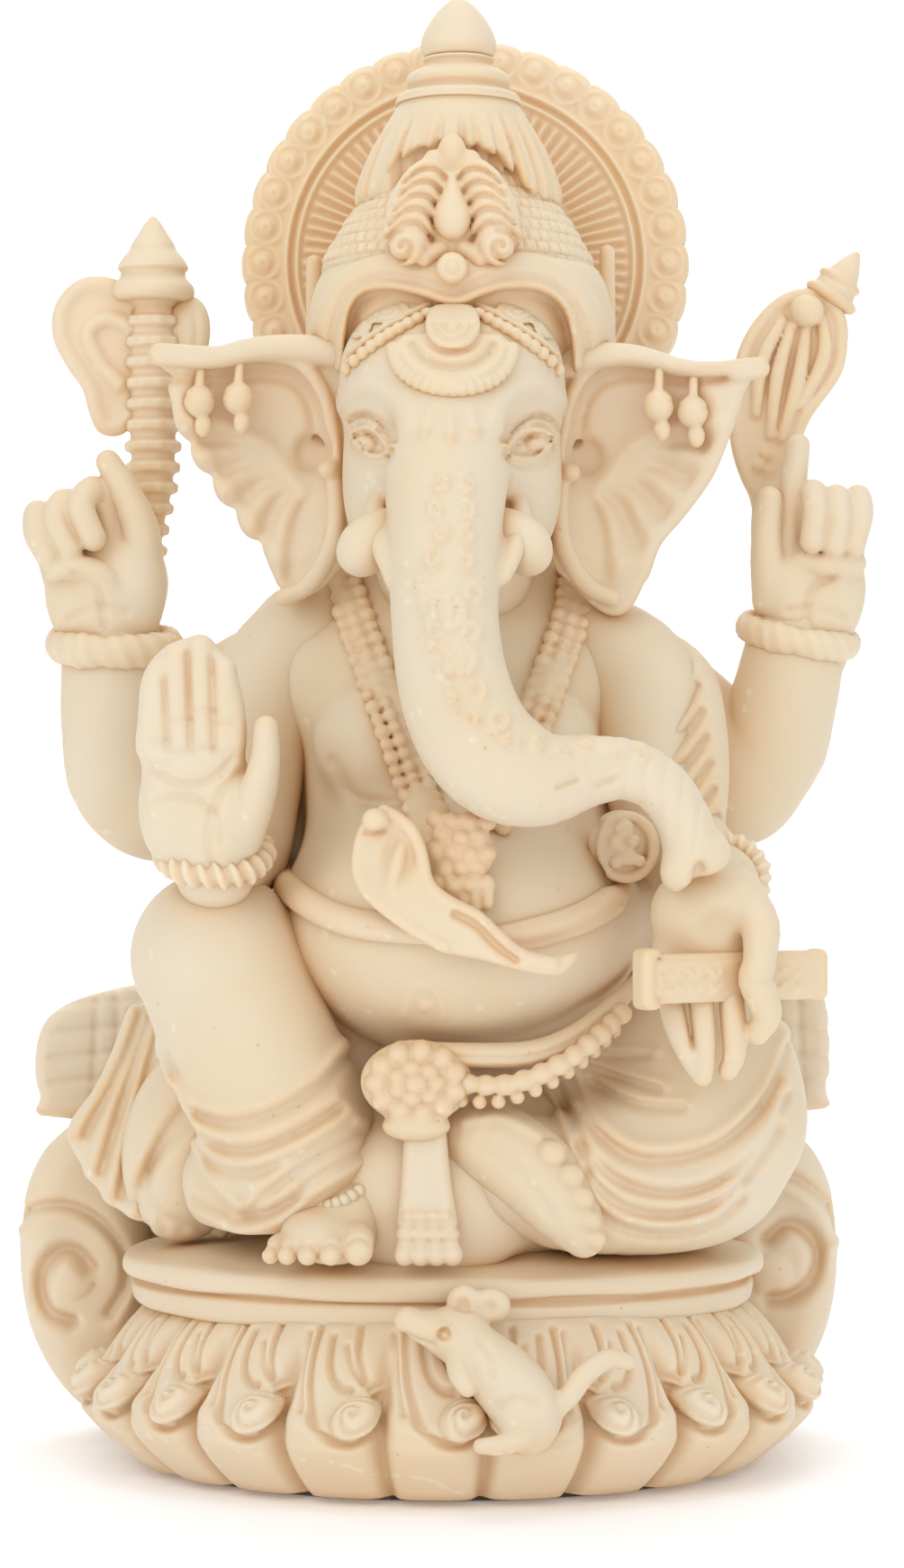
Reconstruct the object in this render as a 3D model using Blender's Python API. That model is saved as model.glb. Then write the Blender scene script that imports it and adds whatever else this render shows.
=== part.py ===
"""A seated elephant-headed idol on a lotus base, as the separate castings that are glued together.

Metres, +Z up, the idol faces -Y. The origin is on the table, under the seated figure. Sizes in the
functions below are millimetres and go through MM. "Right" and "left" are the idol's own: its right is -X.
"""

import math

import bmesh
import bpy
from mathutils import Euler, Matrix, Vector

MM = 0.001
GLUE_GAP = 0.35                 # the glue line between two castings
PETALS = 18                     # round the lotus base
BASE_TOP = 21.8
SLAB_TOP = 28.6
BASE_HALF = (50.5, 40.5)        # half width and half depth at the petal tips
FELT = 1.0
THRONE_FRONT, THRONE_BACK = 22.0, 30.0
HALO_CENTRE, HALO_RADIUS = (2.0, 18.3, 167.6), 31.6
HALO_FRONT, HALO_BACK = 15.6, 21.0
CROWN_AXIS = (1.0, -4.0)        # x and y of the crown's turning axis

SKIN = ("skin_resin", (0.80, 0.68, 0.53), 0.52)
CLOTH = ("cloth_resin", (0.80, 0.67, 0.51), 0.55)
ORNAMENT = ("ornament_resin", (0.82, 0.67, 0.47), 0.55)
THRONE = ("throne_resin", (0.80, 0.66, 0.49), 0.58)
FELT_FINISH = ("felt", (0.10, 0.08, 0.06), 0.95)


# ---------------------------------------------------------------- tools

def clear_scene():
    for obj in list(bpy.data.objects):
        bpy.data.objects.remove(obj)


def finish_of(finish):
    name, colour, roughness = finish
    material = bpy.data.materials.get(name) or bpy.data.materials.new(name)
    material.use_nodes = True
    shader = material.node_tree.nodes["Principled BSDF"]
    shader.inputs["Base Color"].default_value = (*colour, 1.0)
    shader.inputs["Roughness"].default_value = roughness
    shader.inputs["Metallic"].default_value = 0.0
    return material


def piece_from(bm, name, finish):
    """A new object from a bmesh, shaded smooth, with its origin at the middle of its box."""
    bmesh.ops.recalc_face_normals(bm, faces=bm.faces)
    mesh = bpy.data.meshes.new(name)
    bm.to_mesh(mesh)
    bm.free()
    corners = [vertex.co for vertex in mesh.vertices]
    low = Vector([min(c[k] for c in corners) for k in range(3)])
    high = Vector([max(c[k] for c in corners) for k in range(3)])
    middle = (low + high) / 2
    mesh.transform(Matrix.Translation(-middle))
    mesh.materials.append(finish_of(finish))
    obj = bpy.data.objects.new(name, mesh)
    obj.location = middle
    bpy.context.scene.collection.objects.link(obj)
    return obj


def apply_modifiers(obj):
    graph = bpy.context.evaluated_depsgraph_get()
    mesh = bpy.data.meshes.new_from_object(obj.evaluated_get(graph))
    obj.modifiers.clear()
    old = obj.data
    obj.data = mesh
    mesh.name = obj.name
    bpy.data.meshes.remove(old)


def keep_largest_body(obj):
    """Deletes every loose island but the one with the most volume."""
    bm = bmesh.new()
    bm.from_mesh(obj.data)
    bmesh.ops.triangulate(bm, faces=bm.faces)
    left = set(bm.faces)
    bodies = []
    while left:
        island, front = set(), [left.pop()]
        while front:
            face = front.pop()
            island.add(face)
            for edge in face.edges:
                for other in edge.link_faces:
                    if other in left:
                        left.discard(other)
                        front.append(other)
        volume = sum(f.verts[0].co.dot(f.verts[1].co.cross(f.verts[2].co)) for f in island)
        bodies.append((volume, island))
    bodies.sort(key=lambda body: body[0], reverse=True)
    spare = [face for _, island in bodies[1:] for face in island]
    if spare:
        bmesh.ops.delete(bm, geom=spare, context="FACES")
        loose = [v for v in bm.verts if not v.link_faces]
        bmesh.ops.delete(bm, geom=loose, context="VERTS")
    bm.to_mesh(obj.data)
    bm.free()


def add_ball(bm, centre, radii, turn=(0, 0, 0)):
    """An ellipsoid: centre and radii in mm, turned by XYZ angles in degrees."""
    rotation = Euler([math.radians(angle) for angle in turn]).to_matrix().to_4x4()
    matrix = Matrix.Translation(Vector(centre) * MM) @ rotation @ Matrix.Diagonal((*radii, 1.0))
    bmesh.ops.create_icosphere(bm, subdivisions=3, radius=MM, matrix=matrix)


def add_limb(bm, stations):
    """A limb through (x, y, z, radius) stations in mm: a ball at each one and a cone between them."""
    for x, y, z, radius in stations:
        add_ball(bm, (x, y, z), (radius,) * 3)
    for first, second in zip(stations, stations[1:]):
        start, end = Vector(first[:3]), Vector(second[:3])
        along = end - start
        matrix = Matrix.Translation((start + end) / 2 * MM) @ along.to_track_quat("Z",
                                                                                  "Y").to_matrix().to_4x4()
        bmesh.ops.create_cone(
            bm, cap_ends=True, segments=16, radius1=first[3] * MM, radius2=second[3] * MM,
            depth=along.length * MM, matrix=matrix,
        )


def sculpted(name, finish, balls=(), limbs=(), voxel=1.1, faces=220):
    """Balls and limbs fused into one skin by a voxel remesh, then thinned to about that many faces."""
    bm = bmesh.new()
    for ball in balls:
        add_ball(bm, *ball)
    for limb in limbs:
        add_limb(bm, limb)
    obj = piece_from(bm, name, finish)
    remesh = obj.modifiers.new("skin", "REMESH")
    remesh.mode = "VOXEL"
    remesh.voxel_size = voxel * MM
    apply_modifiers(obj)
    thin = obj.modifiers.new("thin", "DECIMATE")
    thin.ratio = min(1.0, faces / (2 * len(obj.data.polygons)))
    apply_modifiers(obj)
    keep_largest_body(obj)
    obj.data.shade_smooth()
    return obj


def stacked_rings(name, finish, rings):
    """A closed body from rings of points, all with the same count, from the bottom ring to the top one."""
    bm = bmesh.new()
    loops = [[bm.verts.new(Vector(p) * MM) for p in ring] for ring in rings]
    for lower, upper in zip(loops, loops[1:]):
        for k in range(len(lower)):
            n = (k + 1) % len(lower)
            bm.faces.new((lower[k], lower[n], upper[n], upper[k]))
    bm.faces.new(loops[0][::-1])
    bm.faces.new(loops[-1])
    obj = piece_from(bm, name, finish)
    obj.data.shade_smooth()
    obj.data.set_sharp_from_angle(angle=math.radians(40))
    return obj


def oval(half_x, half_y, z, points=40, centre=(0.0, 0.0), wave=0.0, lobes=0):
    """A ring of points round an oval, its radius waved by that share for each lobe."""
    ring = []
    for k in range(points):
        angle = 2 * math.pi * k / points
        swell = 1 + wave * (abs(math.cos(lobes * angle / 2)) - 0.6) if lobes else 1.0
        ring.append((centre[0] + half_x * swell * math.cos(angle),
                     centre[1] + half_y * swell * math.sin(angle), z))
    return ring


def turned(name, finish, centre, profile, points=20):
    """A body turned round a vertical axis, from (radius, z) pairs, bottom to top."""
    return stacked_rings(name, finish, [oval(r, r, z, points, centre) for r, z in profile])


def plate(name, finish, outline, front, back, bevel=0.8):
    """An upright board: an (x, z) outline extruded from y = front to y = back, with its edges rounded."""
    bm = bmesh.new()
    face = bm.faces.new([bm.verts.new(Vector((x, front, z)) * MM) for x, z in outline])
    grown = bmesh.ops.extrude_face_region(bm, geom=[face])
    moved = [v for v in grown["geom"] if isinstance(v, bmesh.types.BMVert)]
    bmesh.ops.translate(bm, verts=moved, vec=(0, (back - front) * MM, 0))
    obj = piece_from(bm, name, finish)
    round_edges = obj.modifiers.new("round", "BEVEL")
    round_edges.width = bevel * MM
    round_edges.segments = 1
    round_edges.limit_method = "ANGLE"
    round_edges.angle_limit = math.radians(50)
    apply_modifiers(obj)
    return obj


def smooth_outline(corners, steps=3):
    """A closed Catmull-Rom curve through (x, z) corners, as points."""
    points = []
    count = len(corners)
    for k in range(count):
        p0, p1, p2, p3 = (Vector(corners[(k + j) % count]) for j in (-1, 0, 1, 2))
        for s in range(steps):
            t = s / steps
            points.append(
                0.5 * (2 * p1 + (p2 - p0) * t + (2 * p0 - 5 * p1 + 4 * p2 - p3) * t**2
                       + (3 * p1 - p0 - 3 * p2 + p3) * t**3)
            )
    return points


def band(name, finish, route, radius, sides=2):
    """A rod along a route of (x, y, z) points."""
    curve = bpy.data.curves.new(name, "CURVE")
    curve.dimensions = "3D"
    curve.bevel_depth = radius * MM
    curve.bevel_resolution = sides
    curve.use_fill_caps = True
    spline = curve.splines.new("POLY")
    spline.points.add(len(route) - 1)
    middle = sum((Vector(p) for p in route), Vector()) / len(route)
    for point, place in zip(spline.points, route):
        point.co = (*((Vector(place) - middle) * MM), 1.0)
    obj = bpy.data.objects.new(name, curve)
    bpy.context.scene.collection.objects.link(obj)
    graph = bpy.context.evaluated_depsgraph_get()
    mesh = bpy.data.meshes.new_from_object(obj.evaluated_get(graph))
    bpy.data.objects.remove(obj)
    mesh.transform(Matrix.Translation(middle * MM))
    bm = bmesh.new()
    bm.from_mesh(mesh)
    bmesh.ops.remove_doubles(bm, verts=bm.verts, dist=0.01 * MM)
    return piece_from(bm, name, finish)


def through(stations, steps=3):
    """An open Catmull-Rom curve through the stations, which may carry a radius as a fourth number."""
    stations = [Vector(s) for s in stations]
    padded = [2 * stations[0] - stations[1], *stations, 2 * stations[-1] - stations[-2]]
    points = []
    for k in range(1, len(padded) - 2):
        p0, p1, p2, p3 = padded[k - 1:k + 3]
        for s in range(steps):
            t = s / steps
            points.append(
                0.5 * (2 * p1 + (p2 - p0) * t + (2 * p0 - 5 * p1 + 4 * p2 - p3) * t**2
                       + (3 * p1 - p0 - 3 * p2 + p3) * t**3)
            )
    return [tuple(p) for p in [*points, stations[-1]]]


def ring_band(name, finish, centre, radius, thickness, tilt=(0, 0, 0), points=12):
    """A closed bangle: a torus of that radius, tilted by XYZ angles in degrees."""
    bm = bmesh.new()
    turn = Euler([math.radians(angle) for angle in tilt]).to_matrix()
    loops = []
    for k in range(points):
        angle = 2 * math.pi * k / points
        out = Vector((math.cos(angle), math.sin(angle), 0))
        loop = []
        for j in range(5):
            around = 2 * math.pi * j / 5
            place = out * (radius + thickness * math.cos(around)) + Vector((0, 0,
                                                                            thickness * math.sin(around)))
            loop.append(bm.verts.new((Vector(centre) + turn @ place) * MM))
        loops.append(loop)
    for k in range(points):
        here, there = loops[k], loops[(k + 1) % points]
        for j in range(5):
            n = (j + 1) % 5
            bm.faces.new((here[j], there[j], there[n], here[n]))
    obj = piece_from(bm, name, finish)
    obj.data.shade_smooth()
    return obj


def box_of(obj):
    corners = [obj.matrix_world @ v.co for v in obj.data.vertices]
    return [(min(c[k] for c in corners), max(c[k] for c in corners)) for k in range(3)]


def boxes_meet(first, second):
    slack = GLUE_GAP * MM
    return all(a[0] - slack < b[1] and b[0] - slack < a[1] for a, b in zip(box_of(first), box_of(second)))


def grown_copy(obj, by):
    """A cutter: a copy of the piece with each face moved out by that many mm."""
    mesh = obj.data.copy()
    mesh.transform(obj.matrix_world)
    bm = bmesh.new()
    bm.from_mesh(mesh)
    bmesh.ops.triangulate(bm, faces=bm.faces)
    bm.normal_update()
    moves = [v.normal * min(v.calc_shell_factor(), 1.6) * by * MM for v in bm.verts]
    for vertex, move in zip(bm.verts, moves):
        vertex.co += move
    bm.to_mesh(mesh)
    bm.free()
    cutter = bpy.data.objects.new("cutter", mesh)
    cutter.hide_render = True
    cutter.display_type = "WIRE"
    bpy.context.scene.collection.objects.link(cutter)
    return cutter


def volume_of(obj):
    bm = bmesh.new()
    bm.from_mesh(obj.data)
    volume = bm.calc_volume(signed=True)
    bm.free()
    return volume


def cut(host, cutter):
    """Takes the cutter away from the host, again with the slower self-intersection pass if that goes wrong."""
    whole = host.data.copy()
    before = volume_of(host)
    for careful in (False, True):
        saw = host.modifiers.new("seat", "BOOLEAN")
        saw.operation = "DIFFERENCE"
        saw.solver = "EXACT"
        saw.use_self = careful
        saw.object = cutter
        apply_modifiers(host)
        after = volume_of(host)
        if before * 1.0001 >= after > 0 and after >= before - 1.01 * volume_of(cutter):
            break
        host.data = whole.copy()
    bpy.data.meshes.remove(whole)


def seat(host, insert, cutter):
    """Cuts the insert's seat into the host, a glue line larger than the insert."""
    if boxes_meet(host, insert):
        cut(host, cutter)
        keep_largest_body(host)


def trim(host, low=None, high=None, axis=2):
    """Saws the host flat below low or above high, in mm along an axis."""
    for limit, side in ((low, -1), (high, 1)):
        if limit is None:
            continue
        bm = bmesh.new()
        bmesh.ops.create_cube(bm, size=300 * MM)
        cutter = piece_from(bm, "cutter", THRONE)
        place = [0.0, 0.0, 0.0]
        place[axis] = (limit + side * 150) * MM
        cutter.location = place
        bpy.context.view_layer.update()
        cut(host, cutter)
        bpy.data.objects.remove(cutter)
    keep_largest_body(host)


def peg(holder, point, direction, radius, length):
    """Joins a round locating peg to a piece; its neighbour is cut to fit when it is seated."""
    bm = bmesh.new()
    along = Vector(direction).normalized()
    turn = along.to_track_quat("Z", "Y").to_matrix().to_4x4()
    matrix = Matrix.Translation((Vector(point) + along * length / 2) * MM) @ turn
    bmesh.ops.create_cone(
        bm, cap_ends=True, segments=12, radius1=radius * MM, radius2=radius * MM, depth=length * MM,
        matrix=matrix,
    )
    pin = piece_from(bm, "peg", THRONE)
    bpy.context.view_layer.update()
    join = holder.modifiers.new("peg", "BOOLEAN")
    join.operation = "UNION"
    join.solver = "EXACT"
    join.object = pin
    apply_modifiers(holder)
    bpy.data.objects.remove(pin)
    keep_largest_body(holder)


# ---------------------------------------------------------------- the base and the throne

def base_parts():
    felt = stacked_rings("felt_pad", FELT_FINISH, [oval(39, 30, 0, 32), oval(39, 30, FELT, 32)])

    half_x, half_y = BASE_HALF
    profile = ((0.80, FELT + GLUE_GAP, 0.05), (0.92, 4.5, 0.07), (1.0, 9.5, 0.08), (1.0, 12.0, 0.08),
               (0.90, 16.0, 0.03), (0.80, BASE_TOP, 0.0))
    rings = [oval(half_x * share, half_y * share, z, PETALS * 2, wave=wave, lobes=PETALS)
             for share, z, wave in profile]
    lotus = stacked_rings("lotus_base", THRONE, rings)
    peg(lotus, (-20, 0, BASE_TOP - 1), (0, 0, 1), 2.5, 4)
    peg(lotus, (20, 0, BASE_TOP - 1), (0, 0, 1), 2.5, 4)

    tiers = ((40.5, 28.0, BASE_TOP + GLUE_GAP), (42.3, 29.6, 24.6), (41.4, 28.8, 25.1), (43.9, 30.9, 25.6),
             (43.9, 30.9, 27.9), (43.0, 30.0, SLAB_TOP))
    slab = stacked_rings("seat_slab", THRONE, [oval(a, b, z, 32, centre=(-1.0, -1.0)) for a, b, z in tiers])
    return [felt, lotus, slab]


def throne_parts():
    front, back = THRONE_FRONT, THRONE_BACK
    board = [(-46, 1.5), (46, 1.5), (50, 20), (48, 44.6), (-48, 44.6), (-50, 20)]
    throne = plate("throne_back", THRONE, board, front, back)
    rest = smooth_outline([(-54, 46), (0, 45.4), (51, 46), (55, 50), (56, 63), (52, 66.5), (30, 68),
                           (0, 69), (-30, 68), (-52, 65), (-58, 60), (-58, 50)], 2)
    backrest = plate("backrest", THRONE, rest, front, back - 1.5, 1.2)
    peg(backrest, (-25, 25.5, 47), (0, 0, -1), 2.0, 8)
    peg(backrest, (25, 25.5, 47), (0, 0, -1), 2.0, 8)
    right = sculpted("right_scroll", THRONE, balls=[
        ((-51.5, 18, 25.4), (9.8, 8.5, 19.5), (0, 6, 0)), ((-49, 19, 13), (7.5, 8, 10), (0, 25, 0)),
    ], faces=260)
    left = sculpted("left_scroll", THRONE, balls=[
        ((48.0, 18, 25.4), (9.0, 8.5, 18.5), (0, -6, 0)), ((46, 19, 13), (7.0, 8, 10), (0, -25, 0)),
    ], faces=260)
    return [right, left, backrest, throne]


# ---------------------------------------------------------------- the halo and the crown

def halo_parts():
    cx, _, cz = HALO_CENTRE
    front, back, inner = HALO_FRONT, HALO_BACK, 25.8
    lobes = 34
    bm = bmesh.new()
    sections = []
    for k in range(lobes * 2):
        angle = 2 * math.pi * k / (lobes * 2)
        outer = HALO_RADIUS + (0.5 if k % 2 == 0 else -0.6)
        section = []
        for radius, y in ((outer, front - 0.2), (outer, back), (inner, back), (inner, front - 0.8)):
            point = Vector((cx + radius * math.cos(angle), y, cz + radius * math.sin(angle)))
            section.append(bm.verts.new(point * MM))
        sections.append(section)
    for first, second in zip(sections, sections[1:] + sections[:1]):
        for j in range(4):
            n = (j + 1) % 4
            bm.faces.new((first[j], first[n], second[n], second[j]))
    rim = piece_from(bm, "halo_rim", ORNAMENT)
    disc_edge = inner - GLUE_GAP - 0.15
    circle = [(cx + disc_edge * math.cos(math.tau * k / lobes),
               cz + disc_edge * math.sin(math.tau * k / lobes))
              for k in range(lobes)]
    disc = plate("halo_disc", ORNAMENT, circle, front, back - 1.0, 0.4)
    peg(disc, (1.0, front + 1, 167), (0, -1, 0), 3.2, 6)
    stem = plate("halo_stem", ORNAMENT, [(-7, 140), (-9, 128), (-8, 104), (10, 104), (11, 128), (9, 140)],
                 8.0, back, 1.0)
    peg(stem, (cx, 18.0, 139), (0, 0, 1), 2.0, 8)
    return [stem, rim, disc]


def crown_parts():
    band_ring = stacked_rings("crown_band", ORNAMENT, [
        oval(18.4, 16.5, 149.5, 28, (1.0, -5.5)), oval(20.6, 18.5, 151.5, 28, (1.0, -5.5)),
        oval(21.0, 19.0, 156, 28, (1.0, -5.0)), oval(19.8, 18.2, 161.5, 28, (1.0, -4.6)),
        oval(18.0, 16.6, 163.2, 28, (1.0, -4.4)),
    ])
    dome = turned("crown_dome", ORNAMENT, CROWN_AXIS,
                  ((17.4, 163.6), (18.4, 166.5), (16.8, 171.5), (13.2, 175.6), (9.0, 177.6)), 24)
    canopy = turned("crown_canopy", ORNAMENT, CROWN_AXIS,
                    ((9.5, 178.0), (13.0, 179.0), (12.2, 182.0), (9.8, 185.6), (8.2, 186.6)), 20)
    spire = turned("crown_spire", ORNAMENT, CROWN_AXIS,
                   ((7.4, 187.0), (8.6, 188.0), (7.2, 190.2), (5.2, 191.4), (5.4, 192.6), (3.4, 193.4)), 18)
    finial = turned("crown_finial", ORNAMENT, CROWN_AXIS,
                    ((2.6, 193.8), (4.9, 195.0), (4.3, 197.0), (2.4, 199.2), (0.6, 200.4)), 16)
    crest = sculpted("crown_crest", ORNAMENT, balls=[
        ((1.0, -23.6, 169), (3.2, 2.4, 5.5), (12, 0, 0)), ((-4.6, -22.6, 168), (3.6, 2.2, 6.5), (12, -18, 0)),
        ((6.6, -22.6, 168), (3.6, 2.2, 6.5), (12, 18, 0)), ((1.0, -22.4, 176.5), (2.4, 2.0, 4.5), (14, 0, 0)),
        ((1.0, -24.2, 162.0), (2.2, 2.0, 2.4)),
    ], faces=150, voxel=0.8)
    peg(dome, (1.0, -4, 165), (0, 0, -1), 4.0, 6)
    peg(canopy, (1.0, -4, 179), (0, 0, -1), 3.0, 5)
    peg(spire, (1.0, -4, 188), (0, 0, -1), 2.5, 4.5)
    peg(finial, (1.0, -4, 194.6), (0, 0, -1), 1.5, 4)
    peg(band_ring, (1.0, -5, 151), (0, 0, -1), 4.0, 8)
    return [finial, spire, canopy, crest, dome, band_ring]


# ---------------------------------------------------------------- the head

def tusks():
    right = sculpted("right_tusk", SKIN, limbs=[[(-4.5, -26, 126.5, 2.4), (-8.5, -32.5, 124.0, 2.7),
                                                 (-12.2, -37.0, 122.8, 1.6)]], faces=90, voxel=0.8)
    left = sculpted("left_tusk", SKIN, limbs=[[(6.5, -26, 126.5, 2.4), (9.8, -32.0, 124.2, 2.7),
                                               (12.3, -35.5, 123.4, 1.9)]], faces=90, voxel=0.8)
    return [right, left]


def pendants():
    made = []
    places = {"right_outer_pendant": (-31.9, -13.6, 146.4), "right_inner_pendant": (-27.6, -13.8, 146.6),
              "left_inner_pendant": (29.6, -13.8, 145.6), "left_outer_pendant": (33.8, -13.6, 144.8)}
    for name, (x, y, z) in places.items():
        made.append(sculpted(name, ORNAMENT, balls=[((x, y, z), (1.6, 1.6, 1.6))],
                             limbs=[[(x, y, z + 3.6, 0.7), (x, y, z - 3.4, 0.9)]], faces=60, voxel=0.6))
    return made


def ears():
    right_edge = [(-12.5, 151.0), (-25.4, 152.9), (-32.0, 151.3), (-38.6, 152.2), (-37.8, 145.0),
                  (-34.3, 134.9),
                  (-28.9, 129.8), (-23.5, 122.0), (-17.5, 120.0), (-11.0, 124.0)]
    left_edge = [(14.5, 150.0), (25.9, 151.9), (35.0, 149.1), (41.9, 149.1), (39.7, 144.4), (36.8, 138.2),
                 (32.4, 129.1), (27.3, 121.4), (25.0, 115.0), (18.5, 119.0), (12.5, 124.0)]
    right = plate("right_ear", SKIN, smooth_outline(right_edge, 2), -12.0, -8.0, 1.0)
    left = plate("left_ear", SKIN, smooth_outline(left_edge, 2), -12.0, -8.0, 1.0)
    return [right, left]


def head_parts():
    jewel = sculpted("forehead_jewel", ORNAMENT, balls=[
        ((1.0, -30.4, 147.5), (8.5, 3.0, 5.5), (-20, 0, 0)), ((1.0, -32.0, 150.5), (3.4, 2.4, 3.6)),
        ((-7.5, -27.0, 151.5), (7.0, 2.4, 2.2), (0, -24, 35)),
        ((9.5, -27.0, 151.5), (7.0, 2.4, 2.2), (0, 24, -35)),
    ], faces=150, voxel=0.8)
    trunk = [(0.7, -24, 141, 8.4), (0.4, -32, 129, 7.7), (-0.2, -37, 119.5, 7.3), (-0.4, -40, 113.6, 7.0),
             (0.7, -42.5, 106.7, 6.6), (3.2, -44, 100.1, 6.5), (7.1, -45, 95.4, 6.5),
             (11.7, -44.5, 93.6, 5.8),
             (17.4, -43, 94.5, 4.4), (22.5, -42, 95.0, 3.7), (26.4, -41, 92.8, 3.1), (29.2, -40, 88.6, 2.9),
             (31.0, -39.5, 85.6, 3.2)]
    head = sculpted("head", SKIN, balls=[
        ((0.9, -12.5, 140.5), (15.4, 17.5, 18.0), (0, 0, 0)), ((-6.0, -17, 147), (9, 11, 9), (0, 0, 0)),
        ((7.8, -17, 147), (9, 11, 9), (0, 0, 0)), ((-8.6, -20, 131), (6.5, 9, 9), (0, 0, 0)),
        ((10.4, -20, 131), (6.5, 9, 9), (0, 0, 0)), ((0.9, -10, 122), (9.5, 9.5, 9.0), (0, 0, 0)),
    ], limbs=[trunk, [(0.9, -6, 120, 6.5), (0.9, -4, 108, 6.5)]], faces=560)
    return tusks() + [jewel] + pendants() + ears() + [head]


# ---------------------------------------------------------------- the arms and what they hold

def hand(name, palm, fingers, wrist, faces=250):
    """A hand from its palm balls, finger limbs and the wrist limb that plugs into the arm."""
    return sculpted(name, SKIN, balls=palm, limbs=[*fingers, wrist], voxel=0.7, faces=faces)


def hands():
    raised = hand("front_right_hand", [
        ((-31.0, -32.5, 92.5), (7.0, 3.4, 9.5)), ((-27.2, -33.5, 90.5), (3.6, 3.4, 5.5), (0, 12, 0)),
    ], [
        [(-36.6, -33, 95.0, 1.9), (-36.6, -34, 104.6, 1.5)],
        [(-34.0, -33, 96.0, 2.0), (-34.1, -34, 109.4, 1.6)],
        [(-31.0, -33, 96.0, 2.0), (-31.3, -34, 110.4, 1.6)],
        [(-28.0, -33, 96.0, 2.0), (-28.3, -34, 107.4, 1.6)],
        [(-26.6, -33, 90.0, 2.4), (-23.8, -34, 94.0, 2.1), (-23.4, -34.5, 99.8, 1.5)],
    ], [(-30.6, -31, 88.0, 5.0), (-29.8, -26, 83.0, 4.6)])
    holding = hand("front_left_hand", [
        ((33.6, -34.0, 77.0), (6.8, 3.8, 5.8), (0, 0, 10)), ((33.6, -33.0, 70.5), (5.5, 3.0, 6.0)),
    ], [
        [(38.0, -35, 78.2, 2.2), (40.2, -37.6, 71.5, 1.9), (40.4, -37.6, 64.0, 1.7), (39.4, -36, 61.6, 1.4)],
        [(28.9, -36, 67.0, 1.6), (32.0, -36, 58.4, 1.4)],
        [(32.0, -36.4, 67.0, 1.6), (32.8, -36.4, 56.4, 1.4)],
        [(35.6, -36, 67.0, 1.6), (36.4, -36, 58.4, 1.4)],
    ], [(35.5, -32, 78.0, 4.4), (37.0, -22, 81.0, 4.8)])
    axe_hand = hand("rear_right_hand", [
        ((-47.0, -0.5, 121.6), (7.2, 4.2, 6.8)), ((-43.2, -3.0, 120.5), (3.8, 3.2, 5.0)),
    ], [
        [(-42.2, -2.0, 125.5, 2.2), (-44.0, -2.5, 131.5, 2.0), (-47.0, -2.5, 137.4, 1.7)],
        [(-47.2, 0, 126, 2.2), (-48.8, -0.5, 132.0, 2.0), (-47.4, -4.6, 127.4, 1.7)],
        [(-50.8, 0, 125, 2.2), (-53.0, -0.5, 131.0, 2.0), (-51.2, -4.6, 126.4, 1.7)],
        [(-53.6, 0, 118.5, 2.2), (-56.9, -0.5, 130.4, 1.9), (-54.8, -4.4, 126.0, 1.6)],
        [(-41.2, -2.5, 119.0, 2.3), (-42.0, -4.8, 125.6, 1.7)],
    ], [(-46.5, 0, 117.5, 5.6), (-46.2, 0, 110.0, 5.2)])
    noose_hand = hand("rear_left_hand", [
        ((49.6, -0.5, 120.8), (7.0, 4.2, 6.2)), ((46.0, -3.0, 119.5), (3.6, 3.2, 4.8)),
    ], [
        [(45.0, -2.0, 119.5, 2.3), (44.4, -3.0, 125.5, 2.0), (44.2, -3.6, 131.4, 1.6)],
        [(47.0, -1.0, 124, 2.2), (46.8, -1.5, 132.0, 2.0), (47.0, -1.5, 138.8, 1.7)],
        [(49.0, 0, 124, 2.2), (49.4, -1.0, 132.0, 1.9), (48.8, -4.6, 126.6, 1.7)],
        [(52.0, 0, 124, 2.2), (52.6, -1.0, 131.4, 1.9), (52.0, -4.6, 126.0, 1.7)],
        [(54.6, 0, 122, 2.2), (56.4, -1.0, 131.8, 1.9), (55.4, -4.6, 127.0, 1.6)],
    ], [(49.0, 0, 117.5, 5.6), (48.8, 0, 110.0, 5.2)])
    return [raised, holding, axe_hand, noose_hand]


def attributes():
    axe_shaft = turned("axe_shaft", ORNAMENT, (-41.0, 5.0), (
        (1.4, 116.0), (2.2, 118.0), (2.2, 131), (3.0, 134), (2.4, 143.5), (3.4, 145), (3.4, 160.5),
        (5.4, 161.6),
        (4.8, 164.2), (2.6, 167.4), (0.5, 172.0)), 14)
    axe_head = sculpted("axe_head", ORNAMENT, balls=[
        ((-49.4, 4.5, 156.0), (5.8, 2.6, 7.4), (0, -10, 0)),
        ((-47.0, 4.5, 147.0), (3.8, 2.4, 5.8), (0, -22, 0)),
        ((-36.0, 4.8, 156.6), (3.0, 2.2, 4.6)),
    ], limbs=[[(-47.0, 4.5, 156, 1.6), (-37.0, 4.8, 156, 1.6)],
              [(-46.0, 4.5, 147, 1.6), (-43.0, 4.8, 148, 1.8)]],
        faces=200, voxel=0.8)
    noose = sculpted("noose", ORNAMENT, balls=[
        ((47.6, 5.5, 147.8), (6.8, 3.2, 14.5), (0, 16, 0)), ((45.0, 5.0, 136.0), (3.6, 2.8, 9.0), (0, 10, 0)),
    ], limbs=[[(44.6, 5.0, 134, 2.4), (45.4, 5.0, 118.5, 2.2)]], faces=180, voxel=0.8)
    finial = sculpted("noose_finial", ORNAMENT, limbs=[
        [(51.4, 5.5, 159.8, 2.2), (53.0, 5.5, 161.8, 3.4), (54.6, 5.5, 163.4, 2.6), (56.8, 5.5, 166.0, 1.2)],
    ], faces=100, voxel=0.7)
    book = sculpted_book()
    return [book, axe_shaft, axe_head, finial, noose]


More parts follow.
